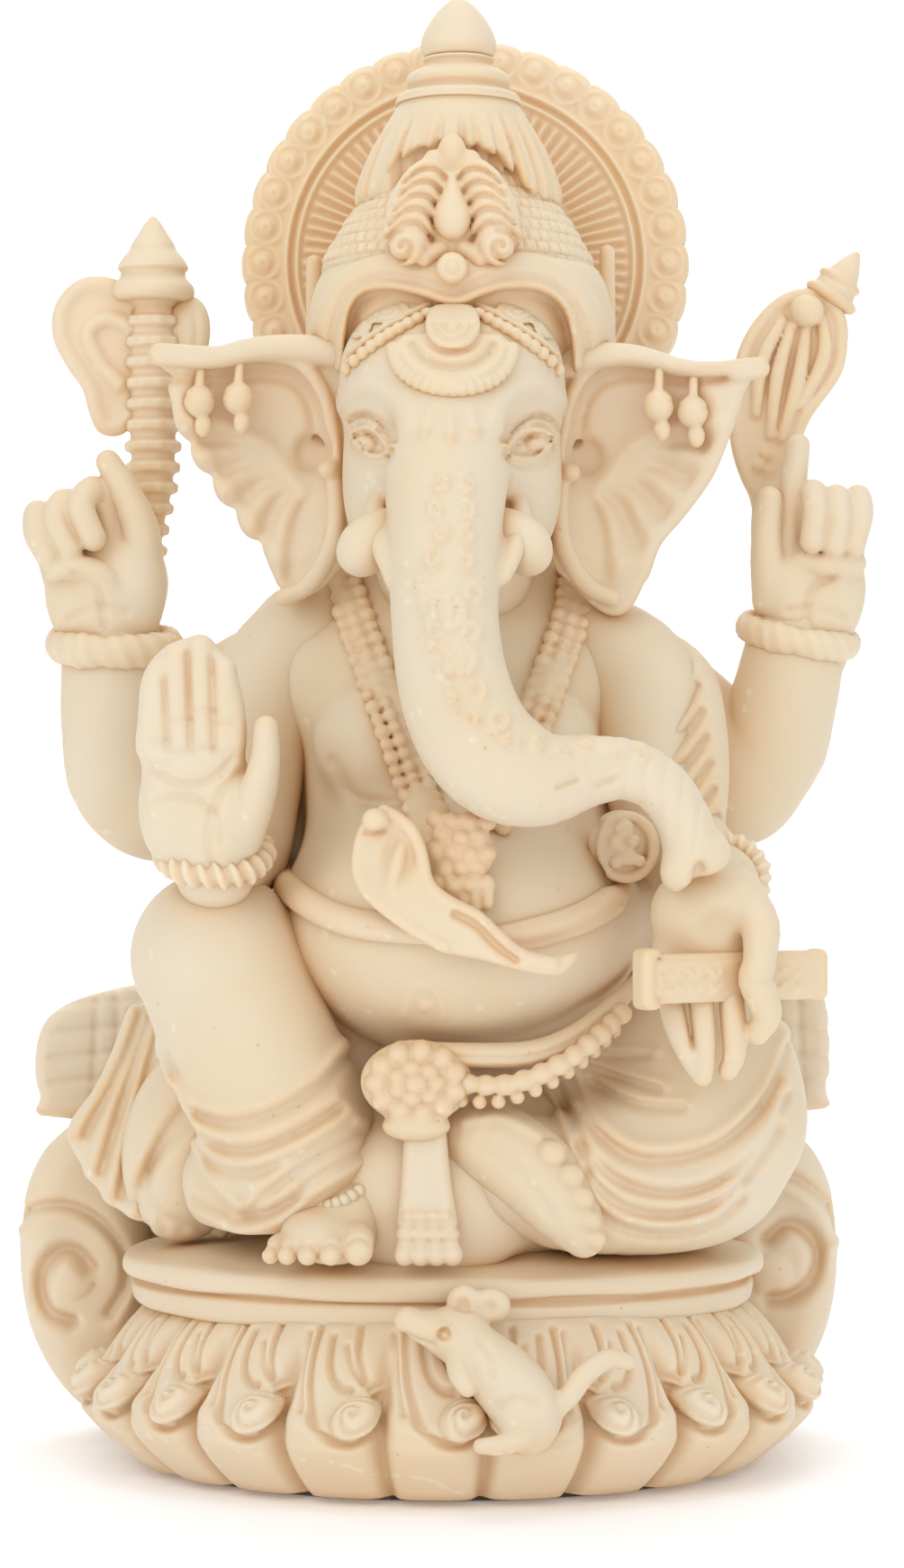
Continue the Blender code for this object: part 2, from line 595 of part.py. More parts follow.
def sculpted_book():
    """A palm-leaf manuscript: a bar with rounded edges, turned away at its left end."""
    bm = bmesh.new()
    turn = Matrix.Translation(Vector((36.4, -36.6, 68.4)) * MM) @ Matrix.Rotation(math.radians(27), 4, "Z")
    matrix = turn @ Matrix.Diagonal((27.5, 3.0, 6.6, 1.0))
    bmesh.ops.create_cube(bm, size=MM, matrix=matrix)
    obj = piece_from(bm, "manuscript", ORNAMENT)
    soften = obj.modifiers.new("round", "BEVEL")
    soften.width = 0.9 * MM
    soften.segments = 2
    apply_modifiers(obj)
    return obj


def bangles():
    return [
        ring_band("rear_right_bangle", ORNAMENT, (-46.0, 0, 111.4), 7.4, 1.8, (6, 4, 0)),
        ring_band("rear_left_bangle", ORNAMENT, (49.0, 0, 111.8), 7.2, 1.8, (6, -6, 0)),
        ring_band("front_right_bangle", ORNAMENT, (-30.0, -28.4, 84.6), 6.6, 1.5, (28, 4, 0)),
        ring_band("front_left_bangle", ORNAMENT, (37.2, -24.8, 80.8), 6.2, 1.3, (62, -12, 0)),
    ]


def arms():
    rear_right = sculpted("rear_right_arm", SKIN, limbs=[
        [(-20, 7, 108, 7.5), (-33, 6.5, 101, 8.0), (-43.5, 4, 91.5, 8.0), (-46.2, 1, 101, 7.8),
         (-46.1, 0, 112, 6.9)]], faces=170)
    rear_left = sculpted("rear_left_arm", SKIN, limbs=[
        [(22, 7, 108, 7.5), (36, 6.5, 102, 8.0), (46.0, 4, 94.5, 7.8), (49.0, 1, 103, 7.5),
         (48.9, 0, 112.4, 6.8)]], faces=170)
    front_right = sculpted("front_right_arm", SKIN, limbs=[
        [(-19, -3, 114, 8.0), (-25.5, -4, 106, 7.4), (-27.6, -6, 90, 6.4), (-29.4, -18, 82.5, 6.0),
         (-30.0, -27.0, 84.0, 5.6)]], faces=170)
    front_left = sculpted("front_left_arm", SKIN, limbs=[
        [(21, -3, 113, 8.0), (29.5, -4, 107, 8.0), (36.5, -6, 92, 7.0), (38.0, -14, 82.5, 6.2),
         (37.3, -23.5, 80.6, 5.4)]], faces=170)
    sash = sculpted("shoulder_sash", CLOTH, limbs=[
        [(18, -9, 117.5, 3.4), (27, -10, 114.5, 4.0), (34, -12.5, 105, 5.0), (39, -14, 95, 5.0),
         (41, -15, 86.5, 4.2)],
        [(26, 8, 114.5, 3.2), (31, 2, 115.5, 3.4), (34.5, -6, 111, 3.8)],
    ], faces=160)
    return bangles() + hands() + attributes() + [sash, rear_right, rear_left, front_right, front_left]


# ---------------------------------------------------------------- the body, its cloth and jewellery

def jewellery():
    chain = through([(-14, -12.5, 122), (-12.4, -20.5, 116.5), (-9.6, -24.8, 108), (-6.6, -28.2, 99.5),
                     (-3.6, -34.0, 91), (0.4, -38.8, 85.5), (5.0, -37.5, 87), (8.4, -32.0, 93),
                     (12.5, -27.6, 102),
                     (16.0, -22.5, 111), (17.2, -15.0, 119)])
    necklace = band("necklace", ORNAMENT, chain, 2.1)
    drop = sculpted("necklace_pendant", ORNAMENT, balls=[((2.2, -39.6, 80.2), (4.4, 2.0, 4.6))], faces=90,
                    voxel=0.8)
    belt = through([(-24.5, -16, 86.5), (-21.5, -26.0, 81.5), (-15.2, -34.0, 76.6), (-6.0, -38.6, 74.0),
                    (5.0, -39.8, 72.6), (14.4, -38.4, 75.2), (20.6, -33.8, 79.0), (24.6, -26.0, 84.0)])
    snake_belt = band("snake_belt", ORNAMENT, belt, 1.7)
    hood = sculpted("snake_hood", ORNAMENT, balls=[
        ((-8.0, -42.8, 83.6), (4.2, 1.8, 7.2), (0, 14, 0)), ((-9.6, -44.2, 89.2), (1.9, 1.7, 1.7)),
    ], limbs=[[(-6.4, -42.0, 80.0, 2.6), (-1.6, -42.2, 76.4, 2.6), (6.0, -42.8, 72.0, 2.0),
               (10.4, -42.4, 69.8, 1.6),
               (17.4, -40.6, 70.2, 1.1)]], faces=160, voxel=0.7)
    buckle = sculpted("waist_buckle", ORNAMENT, balls=[
        ((-4.4, -33.4, 55.6), (7.2, 2.8, 5.4)), ((-4.6, -33.6, 50.6), (5.2, 2.6, 3.4)),
    ], faces=140, voxel=0.9)
    beads = band("waist_beads", ORNAMENT, through([(3.6, -33.8, 53.0), (10.0, -34.6, 54.0),
                                                   (16.4, -33.6, 56.6),
                                                    (22.0, -29.6, 61.5)]), 1.9)
    pleats = plate("front_pleats", CLOTH, [(-5.0, 48.6), (-7.2, SLAB_TOP + 0.4), (2.6, SLAB_TOP + 0.4),
                                           (0.2, 48.6)],
                   -34.0, -29.0)
    return [drop, hood, necklace, snake_belt, buckle, beads, pleats]


def legs():
    right_anklet = ring_band("right_anklet", ORNAMENT, (-12.2, -32.0, 40.2), 5.6, 1.2, (18, -20, 0), 12)
    right_foot = sculpted("right_foot", SKIN, balls=[((-14.8, -36.5, 33.4), (6.2, 7.6, 3.9), (14, 0, 10))],
                          limbs=[
        [(-11.2, -31, 41.5, 4.0), (-12.0, -33.5, 36.0, 4.2)],
        [(-11.6, -39, 32.6, 1.9), (-10.8, -43.4, 31.0, 1.8)],
        [(-14.4, -40, 32.4, 1.5), (-14.6, -43.6, 30.6, 1.3)],
        [(-16.8, -39.4, 32.2, 1.4), (-17.2, -42.8, 30.5, 1.2)],
        [(-18.8, -38.6, 32.2, 1.3), (-19.6, -41.6, 30.4, 1.2)],
        [(-20.4, -37, 32.2, 1.3), (-21.6, -39.8, 30.4, 1.1)],
    ], faces=220, voxel=0.8)
    left_foot = sculpted("left_foot", SKIN, limbs=[
        [(5.2, -33.0, 45.0, 4.2), (9.8, -36.0, 42.6, 5.0), (13.8, -38.0, 39.0, 4.6), (17.0, -39.2, 35.0, 3.0),
         (18.8, -39.4, 32.2, 1.6)],
        [(12.6, -41.0, 43.4, 1.8), (15.6, -42.0, 41.0, 1.6), (17.4, -42.0, 37.8, 1.5),
         (18.4, -41.4, 34.4, 1.2)],
    ], faces=200, voxel=0.8)
    right_leg = sculpted("right_leg", CLOTH, balls=[((-20.5, -20.5, 37.0), (9.0, 8.6, 8.6))], limbs=[
        [(-15, -4, 56, 11.5), (-24, -14, 66, 10.0), (-31.6, -23.0, 70.4, 9.2)],
        [(-31.6, -23.0, 70.4, 9.2), (-28.0, -24.5, 60, 10.4), (-23.2, -25.0, 50.0, 10.8),
         (-19.4, -24.5, 40, 9.0)],
    ], faces=260)
    left_leg = sculpted("left_leg", CLOTH, balls=[
        ((30.0, -17.0, 46.0), (16.5, 18.0, 15.0), (0, 0, 0)), ((38.0, -10.0, 50.5), (9.8, 14.0, 12.5)),
        ((16.0, -24.0, 39.0), (10.0, 9.0, 9.5)), ((30.0, -22.0, 36.5), (15.5, 14.0, 8.0)),
    ], faces=240)
    fan = plate("dhoti_fan", CLOTH, smooth_outline([(-28, 64.0), (-39, 60.5), (-49.5, 54), (-53.8, 50.5),
                                                    (-50.0, 42),
                                                    (-44.0, 36.5), (-36.0, 34.5), (-29, 36.0)], 2), 3.0,
                                                    9.0, 1.2)
    hips = sculpted("hips", CLOTH, balls=[
        ((0, 1.0, 44), (35, 20.0, 18.5)), ((0, -10, 40), (26, 20, 13.5)),
        ((-34.5, -8.0, 44.5), (9.5, 9.0, 15.4), (0, 14, 0)),
    ], faces=240)
    for piece in (right_leg, left_leg, hips, right_foot, left_foot, fan):
        trim(piece, low=SLAB_TOP + GLUE_GAP)
    return [right_anklet, right_foot, left_foot, right_leg, left_leg, fan, hips]


def torso_parts():
    torso = sculpted("torso", SKIN, balls=[
        ((1.0, -2.5, 103.5), (26.5, 17.0, 23.0)), ((1.6, -12.5, 74.0), (25.0, 26.0, 19.0)),
        ((-10.5, -12.5, 98), (9.5, 12.0, 10.0)), ((12.5, -12.5, 98), (9.5, 12.0, 10.0)),
        ((1.0, 3.0, 84), (23.0, 15.0, 22.0)),
    ], faces=340)
    peg(torso, (1.0, 0, 60), (0, 0, -1), 5.0, 14)
    return [torso]


def mouse_parts():
    mouse = sculpted("mouse", SKIN, balls=[
        ((1.4, -36.0, 23.2), (4.6, 4.2, 4.0)), ((-3.2, -38.2, 24.0), (2.8, 2.4, 2.2)),
        ((4.6, -35.4, 27.0), (2.3, 1.2, 2.4)), ((-0.4, -34.6, 27.4), (2.3, 1.2, 2.2)),
        ((7.6, -38.6, 17.4), (4.8, 4.6, 5.8), (0, -32, 0)), ((10.8, -40.0, 13.0), (4.0, 4.2, 4.4)),
    ], limbs=[
        [(0.6, -38.0, 20.4, 1.6), (0.4, -40.6, 16.6, 1.3)],
        [(10.0, -41.6, 11.4, 1.8), (5.4, -43.0, 9.2, 1.4)],
        [(12.6, -40.5, 12.4, 1.6), (16.8, -40.6, 14.4, 1.3), (20.4, -39.0, 18.6, 1.1),
         (23.4, -38.0, 19.0, 1.0)],
    ], faces=260, voxel=0.7)
    peg(mouse, (9.8, -37.0, 12.6), (0, 1, 0), 1.6, 6)
    return [mouse]


def centre_on_table(pieces):
    """Moves everything sideways until the origin is under the middle of the whole idol's box."""
    boxes = [box_of(piece) for piece in pieces]
    shift = [-(min(b[k][0] for b in boxes) + max(b[k][1] for b in boxes)) / 2 for k in range(2)]
    for piece in pieces:
        piece.location += Vector((*shift, 0.0))
    bpy.context.view_layer.update()


def build():
    clear_scene()
    pieces = (mouse_parts() + crown_parts() + head_parts() + arms() + jewellery() + legs() + torso_parts()
              + halo_parts() + throne_parts() + base_parts()[::-1])
    bpy.context.view_layer.update()
    cutters = [grown_copy(piece, GLUE_GAP) for piece in pieces]
    for later, host in enumerate(pieces):
        for insert, cutter in zip(pieces[:later], cutters):
            seat(host, insert, cutter)
    for cutter in cutters:
        bpy.data.objects.remove(cutter)
    centre_on_table(pieces)


build()
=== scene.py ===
"""The looks of a seated elephant-headed idol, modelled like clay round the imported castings.

Sizes in the functions are millimetres in the idol's own frame, with x to its left, -y to its front and z up
from the table; PLACE turns them into the frame's metres. "Right" and "left" are the idol's own.
"""

import math
from concurrent.futures import ThreadPoolExecutor

import bmesh
import bpy
import numpy as np
from mathutils import Euler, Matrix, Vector


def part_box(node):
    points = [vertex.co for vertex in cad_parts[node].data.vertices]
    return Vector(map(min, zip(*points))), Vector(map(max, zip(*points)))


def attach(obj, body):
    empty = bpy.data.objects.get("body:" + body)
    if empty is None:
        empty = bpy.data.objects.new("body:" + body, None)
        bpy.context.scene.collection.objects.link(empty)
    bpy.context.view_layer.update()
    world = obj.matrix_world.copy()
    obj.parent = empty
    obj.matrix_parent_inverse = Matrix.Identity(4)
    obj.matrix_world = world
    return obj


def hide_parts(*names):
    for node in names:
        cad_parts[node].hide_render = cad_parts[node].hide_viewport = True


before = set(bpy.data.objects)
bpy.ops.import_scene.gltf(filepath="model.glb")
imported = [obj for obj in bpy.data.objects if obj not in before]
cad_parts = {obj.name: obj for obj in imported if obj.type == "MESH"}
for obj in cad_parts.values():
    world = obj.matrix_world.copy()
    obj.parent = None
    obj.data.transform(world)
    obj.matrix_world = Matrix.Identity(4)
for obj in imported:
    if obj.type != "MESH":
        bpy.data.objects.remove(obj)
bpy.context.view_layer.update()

MM = 0.001
FELT_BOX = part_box("felt_pad")
PLACE = np.array([(FELT_BOX[0][0] + FELT_BOX[1][0]) / 2, (FELT_BOX[0][1] + FELT_BOX[1][1]) / 2, 0.0])
CELL = 0.42          # the clay's grain
PETALS = 22
PETAL_TURN = -2.1                           # the front petal's middle, degrees to the left
LIP_AT = 0.52                               # how far down the petals' section their lip is
CURL = (-4.6, 16.0)                         # a petal's curl: mm from its middle line and below the seat
PETAL_LINES = (                             # lines sunk into a petal's top: route, width, depth
    (((-7.4, 13.6), (-8.0, 16.6), (-6.6, 19.2), (-3.6, 19.7), (-0.2, 18.2), (2.8, 14.8), (4.8, 9.6),
      (5.8, 2.0)), 0.75, -1.15),
    (((-3.2, 11.8), (-1.0, 11.2), (1.2, 8.6), (2.4, 3.4)), 0.6, -0.9),
    (((-6.9, 12.0), (-4.6, 9.4), (-3.2, 6.2), (-2.4, 1.6)), 0.65, -0.95),
    (((-4.9, 10.6), (-2.6, 8.2), (-0.8, 5.0)), 0.5, -0.6),
    (((4.6, 14.8), (6.6, 10.0), (7.6, 3.0)), 0.6, -0.7),
)
BLOCK = 8                                   # cells along a block of the sampling grid


# ---------------------------------------------------------------- curves

def curve(stations, steps=5, closed=False):
    """Points of a Catmull-Rom curve through the stations."""
    s = np.array(stations, float)
    if len(s) == 2 and not closed:
        return s
    if closed:
        padded = np.concatenate([s[-1:], s, s[:2]])
    else:
        padded = np.concatenate([[2 * s[0] - s[1]], s, [2 * s[-1] - s[-2]]])
    points = []
    for k in range(1, len(padded) - 2):
        p0, p1, p2, p3 = padded[k - 1:k + 3]
        for t in np.arange(steps) / steps:
            points.append(0.5 * (2 * p1 + (p2 - p0) * t + (2 * p0 - 5 * p1 + 4 * p2 - p3) * t**2
                                 + (3 * p1 - p0 - 3 * p2 + p3) * t**3))
    points.append(padded[-2])
    return np.array(points)


def spiral(centre, radius, turns, start=0.0, hand=1, inner=0.15, count=40):
    """A flat spiral winding in from radius; start is its outer end's angle in degrees."""
    t = np.linspace(0, 1, count)
    angle = math.radians(start) + hand * turns * math.tau * t
    reach = radius * (1 - t * (1 - inner))
    return np.stack([centre[0] + reach * np.cos(angle), centre[1] + reach * np.sin(angle)], 1)


def arc(centre, radius, start, end, count=24, squash=1.0):
    """Points of an arc from start to end degrees."""
    angle = np.radians(np.linspace(start, end, count))
    return np.stack([centre[0] + radius * np.cos(angle), centre[1] + radius * squash * np.sin(angle)], 1)


def spaced(points, step):
    """Points a step apart along a polyline."""
    points = np.array(points, float)
    lengths = np.concatenate([[0], np.cumsum(np.linalg.norm(np.diff(points, axis=0), axis=1))])
    wanted = np.linspace(0, lengths[-1], max(2, int(round(lengths[-1] / step)) + 1))
    return np.stack([np.interp(wanted, lengths, points[:, k]) for k in range(points.shape[1])], 1)


def polyline_distance(p, points):
    """Squared distance from each point to a polyline, and how far along it that is."""
    best = np.full(len(p), 1e9)
    place = np.zeros(len(p))
    run = 0.0
    for a, b in zip(points, points[1:]):
        along = b - a
        length = float(np.linalg.norm(along))
        if length < 1e-6:
            continue
        t = np.clip((p - a) @ along / length**2, 0, 1)
        gap = p - a - t[:, None] * along
        squared = (gap * gap).sum(1)
        nearer = squared < best
        best = np.where(nearer, squared, best)
        place = np.where(nearer, run + t * length, place)
        run += length
    return best, place


# ---------------------------------------------------------------- solids

def smooth_min(a, b, k):
    if k <= 0:
        return np.minimum(a, b)
    h = np.clip(0.5 + 0.5 * (b - a) / k, 0, 1)
    return b + (a - b) * h - k * h * (1 - h)


def ball(centre, radii, turn=(0, 0, 0)):
    """An ellipsoid, turned by XYZ angles in degrees."""
    matrix = np.array(Euler([math.radians(a) for a in turn]).to_matrix())
    centre, radii = np.array(centre, float), np.array(np.broadcast_to(radii, 3), float)

    def shape(p):
        q = (p - centre) @ matrix / radii
        near = np.sqrt((q * q).sum(1)) + 1e-9
        far = np.sqrt(((q / radii) ** 2).sum(1)) + 1e-9
        return near * (near - 1) / far
    return shape


def limb(stations, flat=None, steps=4):
    """A round limb through (x, y, z, radius) stations; flat = (axis, share) thins it along one axis."""
    points = curve(stations, steps) if len(stations) > 2 else np.array(stations, float)
    scale = np.ones(3)
    if flat:
        scale[flat[0]] = 1 / flat[1]

    def shape(p):
        best = np.full(len(p), 1e9)
        q = p * scale
        for a, b in zip(points, points[1:]):
            start, along = a[:3] * scale, (b[:3] - a[:3]) * scale
            t = np.clip((q - start) @ along / max(along @ along, 1e-9), 0, 1)
            gap = q - start - t[:, None] * along
            best = np.minimum(best, np.sqrt((gap * gap).sum(1)) - (a[3] + t * (b[3] - a[3])))
        return best / scale.max() ** 0.5
    return shape


def slab(centre, half, edge=0.8, turn=(0, 0, 0)):
    """A box with rounded edges."""
    matrix = np.array(Euler([math.radians(a) for a in turn]).to_matrix())
    centre, half = np.array(centre, float), np.array(half, float)

    def shape(p):
        q = np.abs((p - centre) @ matrix) - half + edge
        return np.linalg.norm(np.maximum(q, 0), axis=1) + np.minimum(q.max(1), 0) - edge
    return shape


def outline_distance(p, points):
    """Signed distance in a plane to a closed outline, negative inside."""
    closed = np.concatenate([points, points[:1]])
    squared, _ = polyline_distance(p, closed)
    inside = np.zeros(len(p), bool)
    for (ax, ay), (bx, by) in zip(closed, closed[1:]):
        crosses = (ay > p[:, 1]) != (by > p[:, 1])
        side = ax + (p[:, 1] - ay) / (by - ay if by != ay else 1e-9) * (bx - ax)
        inside ^= crosses & (p[:, 0] < side)
    return np.where(inside, -1, 1) * np.sqrt(squared)


def sheet(points, middle, half, edge=1.0):
    """An upright sheet: an (x, z) outline round the surface y = middle(x, z), half thick each way."""
    def shape(p):
        flat = outline_distance(p[:, (0, 2)], points) + edge
        deep = np.abs(p[:, 1] - middle(p[:, 0], p[:, 2])) - half + edge
        return np.hypot(np.maximum(flat, 0), np.maximum(deep, 0)) + np.minimum(np.maximum(flat, deep),
                                                                               0) - edge
    return shape


VIEWS = {"front": (0, 2), "side": (1, 2), "top": (0, 1), "solid": (0, 1, 2)}


def stroke(points, width, height, view="front", y=(-99, 99), beads=0.0):
    """A raised (or, with a negative height, sunk) line on a surface, seen from the front, the side or as a
    solid line; beads break it into knobs that far apart. Only between those y does it act."""
    axes = VIEWS[view]
    points = np.array(points, float)
    low, high = points.min(0) - 2.4 * width, points.max(0) + 2.4 * width

    def mark(p):
        q = p[:, axes]
        near = np.all((q > low) & (q < high), axis=1) & (p[:, 1] > y[0]) & (p[:, 1] < y[1])
        rise = np.zeros(len(p))
        if near.any():
            squared, place = polyline_distance(q[near], points)
            if beads:
                across = (place / beads + 0.5) % 1 - 0.5
                rise[near] = height * np.sqrt(np.clip(1 - squared / width**2 - (2 * across) ** 2, 0, 1))
            else:
                rise[near] = height * np.exp(-squared / width**2)
        return rise
    return mark


def dots(places, radius, height, view="front", y=(-99, 99)):
    """Round knobs, or hollows with a negative height."""
    axes = VIEWS[view]
    places = np.array(places, float)

    def mark(p):
        q = p[:, axes]
        rise = np.zeros(len(p))
        low, high = places.min(0) - radius, places.max(0) + radius
        near = np.all((q > low) & (q < high), axis=1) & (p[:, 1] > y[0]) & (p[:, 1] < y[1])
        if near.any():
            closest = np.min([((q[near] - place) ** 2).sum(1) for place in places], axis=0)
            rise[near] = height * np.sqrt(np.clip(1 - closest / radius**2, 0, 1))
        return rise
    return mark


class Clay:
    """A solid built up step by step; calling it gives the signed distance at points."""

    def __init__(self):
        self.steps = []

    def add(self, shape, blend=0.0):
        self.steps.append(lambda p, d: smooth_min(d, shape(p), blend))
        return self

    def cut(self, shape, blend=0.0):
        self.steps.append(lambda p, d: -smooth_min(-d, shape(p), blend))
        return self

    def keep(self, shape, blend=0.0):
        self.steps.append(lambda p, d: -smooth_min(-d, -shape(p), blend))
        return self

    def mark(self, *marks):
        for one in marks:
            self.steps.append(lambda p, d, one=one: d - one(p))
        return self

    def __call__(self, p):
        d = np.full(len(p), 1e3)
        for step in self.steps:
            d = step(p, d)
        return d


def above(z):
    return lambda p: z - p[:, 2]


def turned(centre, outline, squash=1.0):
    """A turned solid: a closed (radius, z) outline round an upright axis, flattened along y."""
    def shape(p):
        reach = np.hypot(p[:, 0] - centre[0], (p[:, 1] - centre[1]) / squash)
        return outline_distance(np.stack([reach, p[:, 2]], 1), outline) * min(1.0, squash)
    return shape


def prism(outline, back):
    """Everything within an (x, z) outline and in front of y = back."""
    def shape(p):
        return np.maximum(outline_distance(p[:, (0, 2)], outline), p[:, 1] - back)
    return shape


def drape(shape, places, lift=0.0):
    """The points where (x, z) places meet a solid seen from the front, lifted off it by that much."""
    p = np.array([(x, -60.0, z) for x, z in places], float)
    for _ in range(70):
        d = shape(p)
        p[:, 1] = np.minimum(p[:, 1] + np.maximum(d * 0.8, 0), 25)
    p[:, 1] -= lift
    return p


def front_map(shape, low, high, step=0.7):
    """The depth of a solid's front as a function of x and z, between two (x, z) corners."""
    xs, zs = np.arange(low[0], high[0] + step, step), np.arange(low[1], high[1] + step, step)
    grid = np.stack(np.meshgrid(xs, zs, indexing="ij"), -1).reshape(-1, 2)
    depth = drape(shape, grid)[:, 1].reshape(len(xs), len(zs))

    def front(x, z):
        u = np.clip((x - low[0]) / step, 0, len(xs) - 1.001)
        v = np.clip((z - low[1]) / step, 0, len(zs) - 1.001)
        i, j = u.astype(int), v.astype(int)
        u, v = u - i, v - j
        return ((1 - u) * (1 - v) * depth[i, j] + u * (1 - v) * depth[i + 1, j]
                + (1 - u) * v * depth[i, j + 1] + u * v * depth[i + 1, j + 1])
    return front


def laid(shape, places, radius, sink=0.3):
    """Stations of a limb or string laid on a solid's front through (x, z) places."""
    route = drape(shape, curve(places, 6), radius * (1 - 2 * sink))
    return np.concatenate([route, np.full((len(route), 1), radius)], 1)


# ---------------------------------------------------------------- meshes

POOL = ThreadPoolExecutor(4)


def sample(shape, points):
    parts = np.array_split(points, max(1, len(points) // 60000 + 1))
    return np.concatenate(list(POOL.map(shape, parts)))


def skin_of(shape, low, high, cell):
    """Vertices and quads of a solid's surface, by surface nets on a grid sampled only near that surface."""
    low, high = np.array(low, float), np.array(high, float)
    blocks = np.ceil((high - low) / (cell * BLOCK)).astype(int)
    count = blocks * BLOCK
    size = BLOCK * cell
    index = np.stack(np.meshgrid(*[np.arange(n) for n in blocks], indexing="ij"), -1).reshape(-1, 3)
    middle = sample(shape, low + (index + 0.5) * size)
    values = np.repeat(np.repeat(np.repeat(middle.reshape(blocks), BLOCK, 0), BLOCK, 1), BLOCK, 2)
    near = index[np.abs(middle) < size * 1.25 + 1.6]
    steps = np.stack(np.meshgrid(*[np.arange(BLOCK)] * 3, indexing="ij"), -1).reshape(-1, 3)
    cells = (near[:, None] * BLOCK + steps[None]).reshape(-1, 3)
    values[tuple(cells.T)] = sample(shape, low + (cells + 0.5) * cell)
    for axis in range(3):
        edge = [slice(None)] * 3
        for side in (0, -1):
            edge[axis] = side
            values[tuple(edge)] = np.maximum(values[tuple(edge)], 0.01)
    inside = values < 0
    owners, places, quads, flips = [], [], [], []
    strides = np.array([count[1] * count[2], count[2], 1])
    for axis in range(3):
        u, v = (axis + 1) % 3, (axis + 2) % 3
        first = [slice(None)] * 3
        second = [slice(None)] * 3
        first[axis], second[axis] = slice(0, -1), slice(1, None)
        crossing = np.argwhere(inside[tuple(first)] != inside[tuple(second)])
        after = crossing.copy()
        after[:, axis] += 1
        a, b = values[tuple(crossing.T)], values[tuple(after.T)]
        point = crossing.astype(float)
        point[:, axis] += a / (a - b)
        round_edge = []
        for du, dv in ((0, 0), (-1, 0), (-1, -1), (0, -1)):
            owner = crossing.copy()
            owner[:, u] += du
            owner[:, v] += dv
            owner = owner @ strides
            owners.append(owner)
            places.append(point)
            round_edge.append(owner)
        quads.append(np.stack(round_edge, 1))
        flips.append(a > 0)
    owners, places = np.concatenate(owners), np.concatenate(places)
    quads, flips = np.concatenate(quads), np.concatenate(flips)
    names, number = np.unique(owners, return_inverse=True)
    share = np.bincount(number)
    verts = np.stack([np.bincount(number, places[:, k]) / share for k in range(3)], 1)
    quads = np.searchsorted(names, quads)
    quads[flips] = quads[flips][:, ::-1]
    return low + (verts + 0.5) * cell, quads[:, ::-1]


def new_piece(name, verts, faces, nodes, finish, smooth_angle=None):
    """An object from millimetre points, riding on the model and standing for its CAD nodes."""
    mesh = bpy.data.meshes.new(name)
    verts = np.asarray(verts, float) * MM + PLACE
    if isinstance(faces, np.ndarray):
        corners = faces.shape[1]
        mesh.vertices.add(len(verts))
        mesh.vertices.foreach_set("co", verts.ravel())
        mesh.loops.add(faces.size)
        mesh.loops.foreach_set("vertex_index", faces.ravel().astype(np.int32))
        mesh.polygons.add(len(faces))
        mesh.polygons.foreach_set("loop_start", np.arange(0, faces.size, corners, dtype=np.int32))
        mesh.update(calc_edges=True)
    else:
        mesh.from_pydata(verts.tolist(), [], faces)
    mesh.validate()
    mesh.shade_smooth()
    if smooth_angle:
        mesh.set_sharp_from_angle(angle=math.radians(smooth_angle))
    mesh.materials.append(finish)
    piece = bpy.data.objects.new(name, mesh)
    bpy.context.scene.collection.objects.link(piece)
    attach(piece, "root")
    if nodes:
        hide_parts(*nodes)
    return piece


def cut_back(piece, node):
    """Cuts a piece off flat where its CAD node ends at the back, and closes the cut."""
    shape = bmesh.new()
    shape.from_mesh(piece.data)
    everything = shape.verts[:] + shape.edges[:] + shape.faces[:]
    cut = bmesh.ops.bisect_plane(shape, geom=everything, plane_co=(0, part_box(node)[1][1], 0),
                                 plane_no=(0, 1, 0),
                                 clear_outer=True)
    rim = [item for item in cut["geom_cut"] if isinstance(item, bmesh.types.BMEdge)]
    filled = bmesh.ops.holes_fill(shape, edges=rim, sides=0)
    for face in filled["faces"]:
        face.smooth = False
        for edge in face.edges:
            edge.smooth = False
    bmesh.ops.recalc_face_normals(shape, faces=shape.faces[:])
    shape.to_mesh(piece.data)
    shape.free()


def box_of(nodes, margin):
    """The lowest and highest corner of some CAD nodes, in the idol's millimetres, with a margin."""
    corners = [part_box(node) for node in nodes]
    low = np.min([np.array(low) for low, _ in corners], axis=0)
    high = np.max([np.array(high) for _, high in corners], axis=0)
    return (low - PLACE) / MM - margin, (high - PLACE) / MM + margin


def model(name, clay, nodes, finish, cell=1.0, margin=4.0, extent=None):
    """The clay's skin as a piece. cell is in grains; extent overrides the CAD nodes' box."""
    low, high = extent or box_of(nodes, margin)
    verts, quads = skin_of(clay, low, high, CELL * cell)
    return new_piece(name, verts, quads, nodes, finish)


def grid_faces(rows, columns, closed=True):
    """Quads of a grid of points, row by row, its columns closed into a ring."""
    r, c = np.meshgrid(np.arange(rows - 1), np.arange(columns if closed else columns - 1), indexing="ij")
    n = (c + 1) % columns
    quads = np.stack([r * columns + c, r * columns + n, (r + 1) * columns + n, (r + 1) * columns + c], -1)
    return quads.reshape(-1, 4)


def grid_normals(points):
    """Outward normals of a (rows, columns, 3) grid closed along its columns."""
    across = np.roll(points, -1, 1) - np.roll(points, 1, 1)
    down = np.gradient(points, axis=0)
    normal = np.cross(across, down)
    return normal / (np.linalg.norm(normal, axis=2, keepdims=True) + 1e-9)


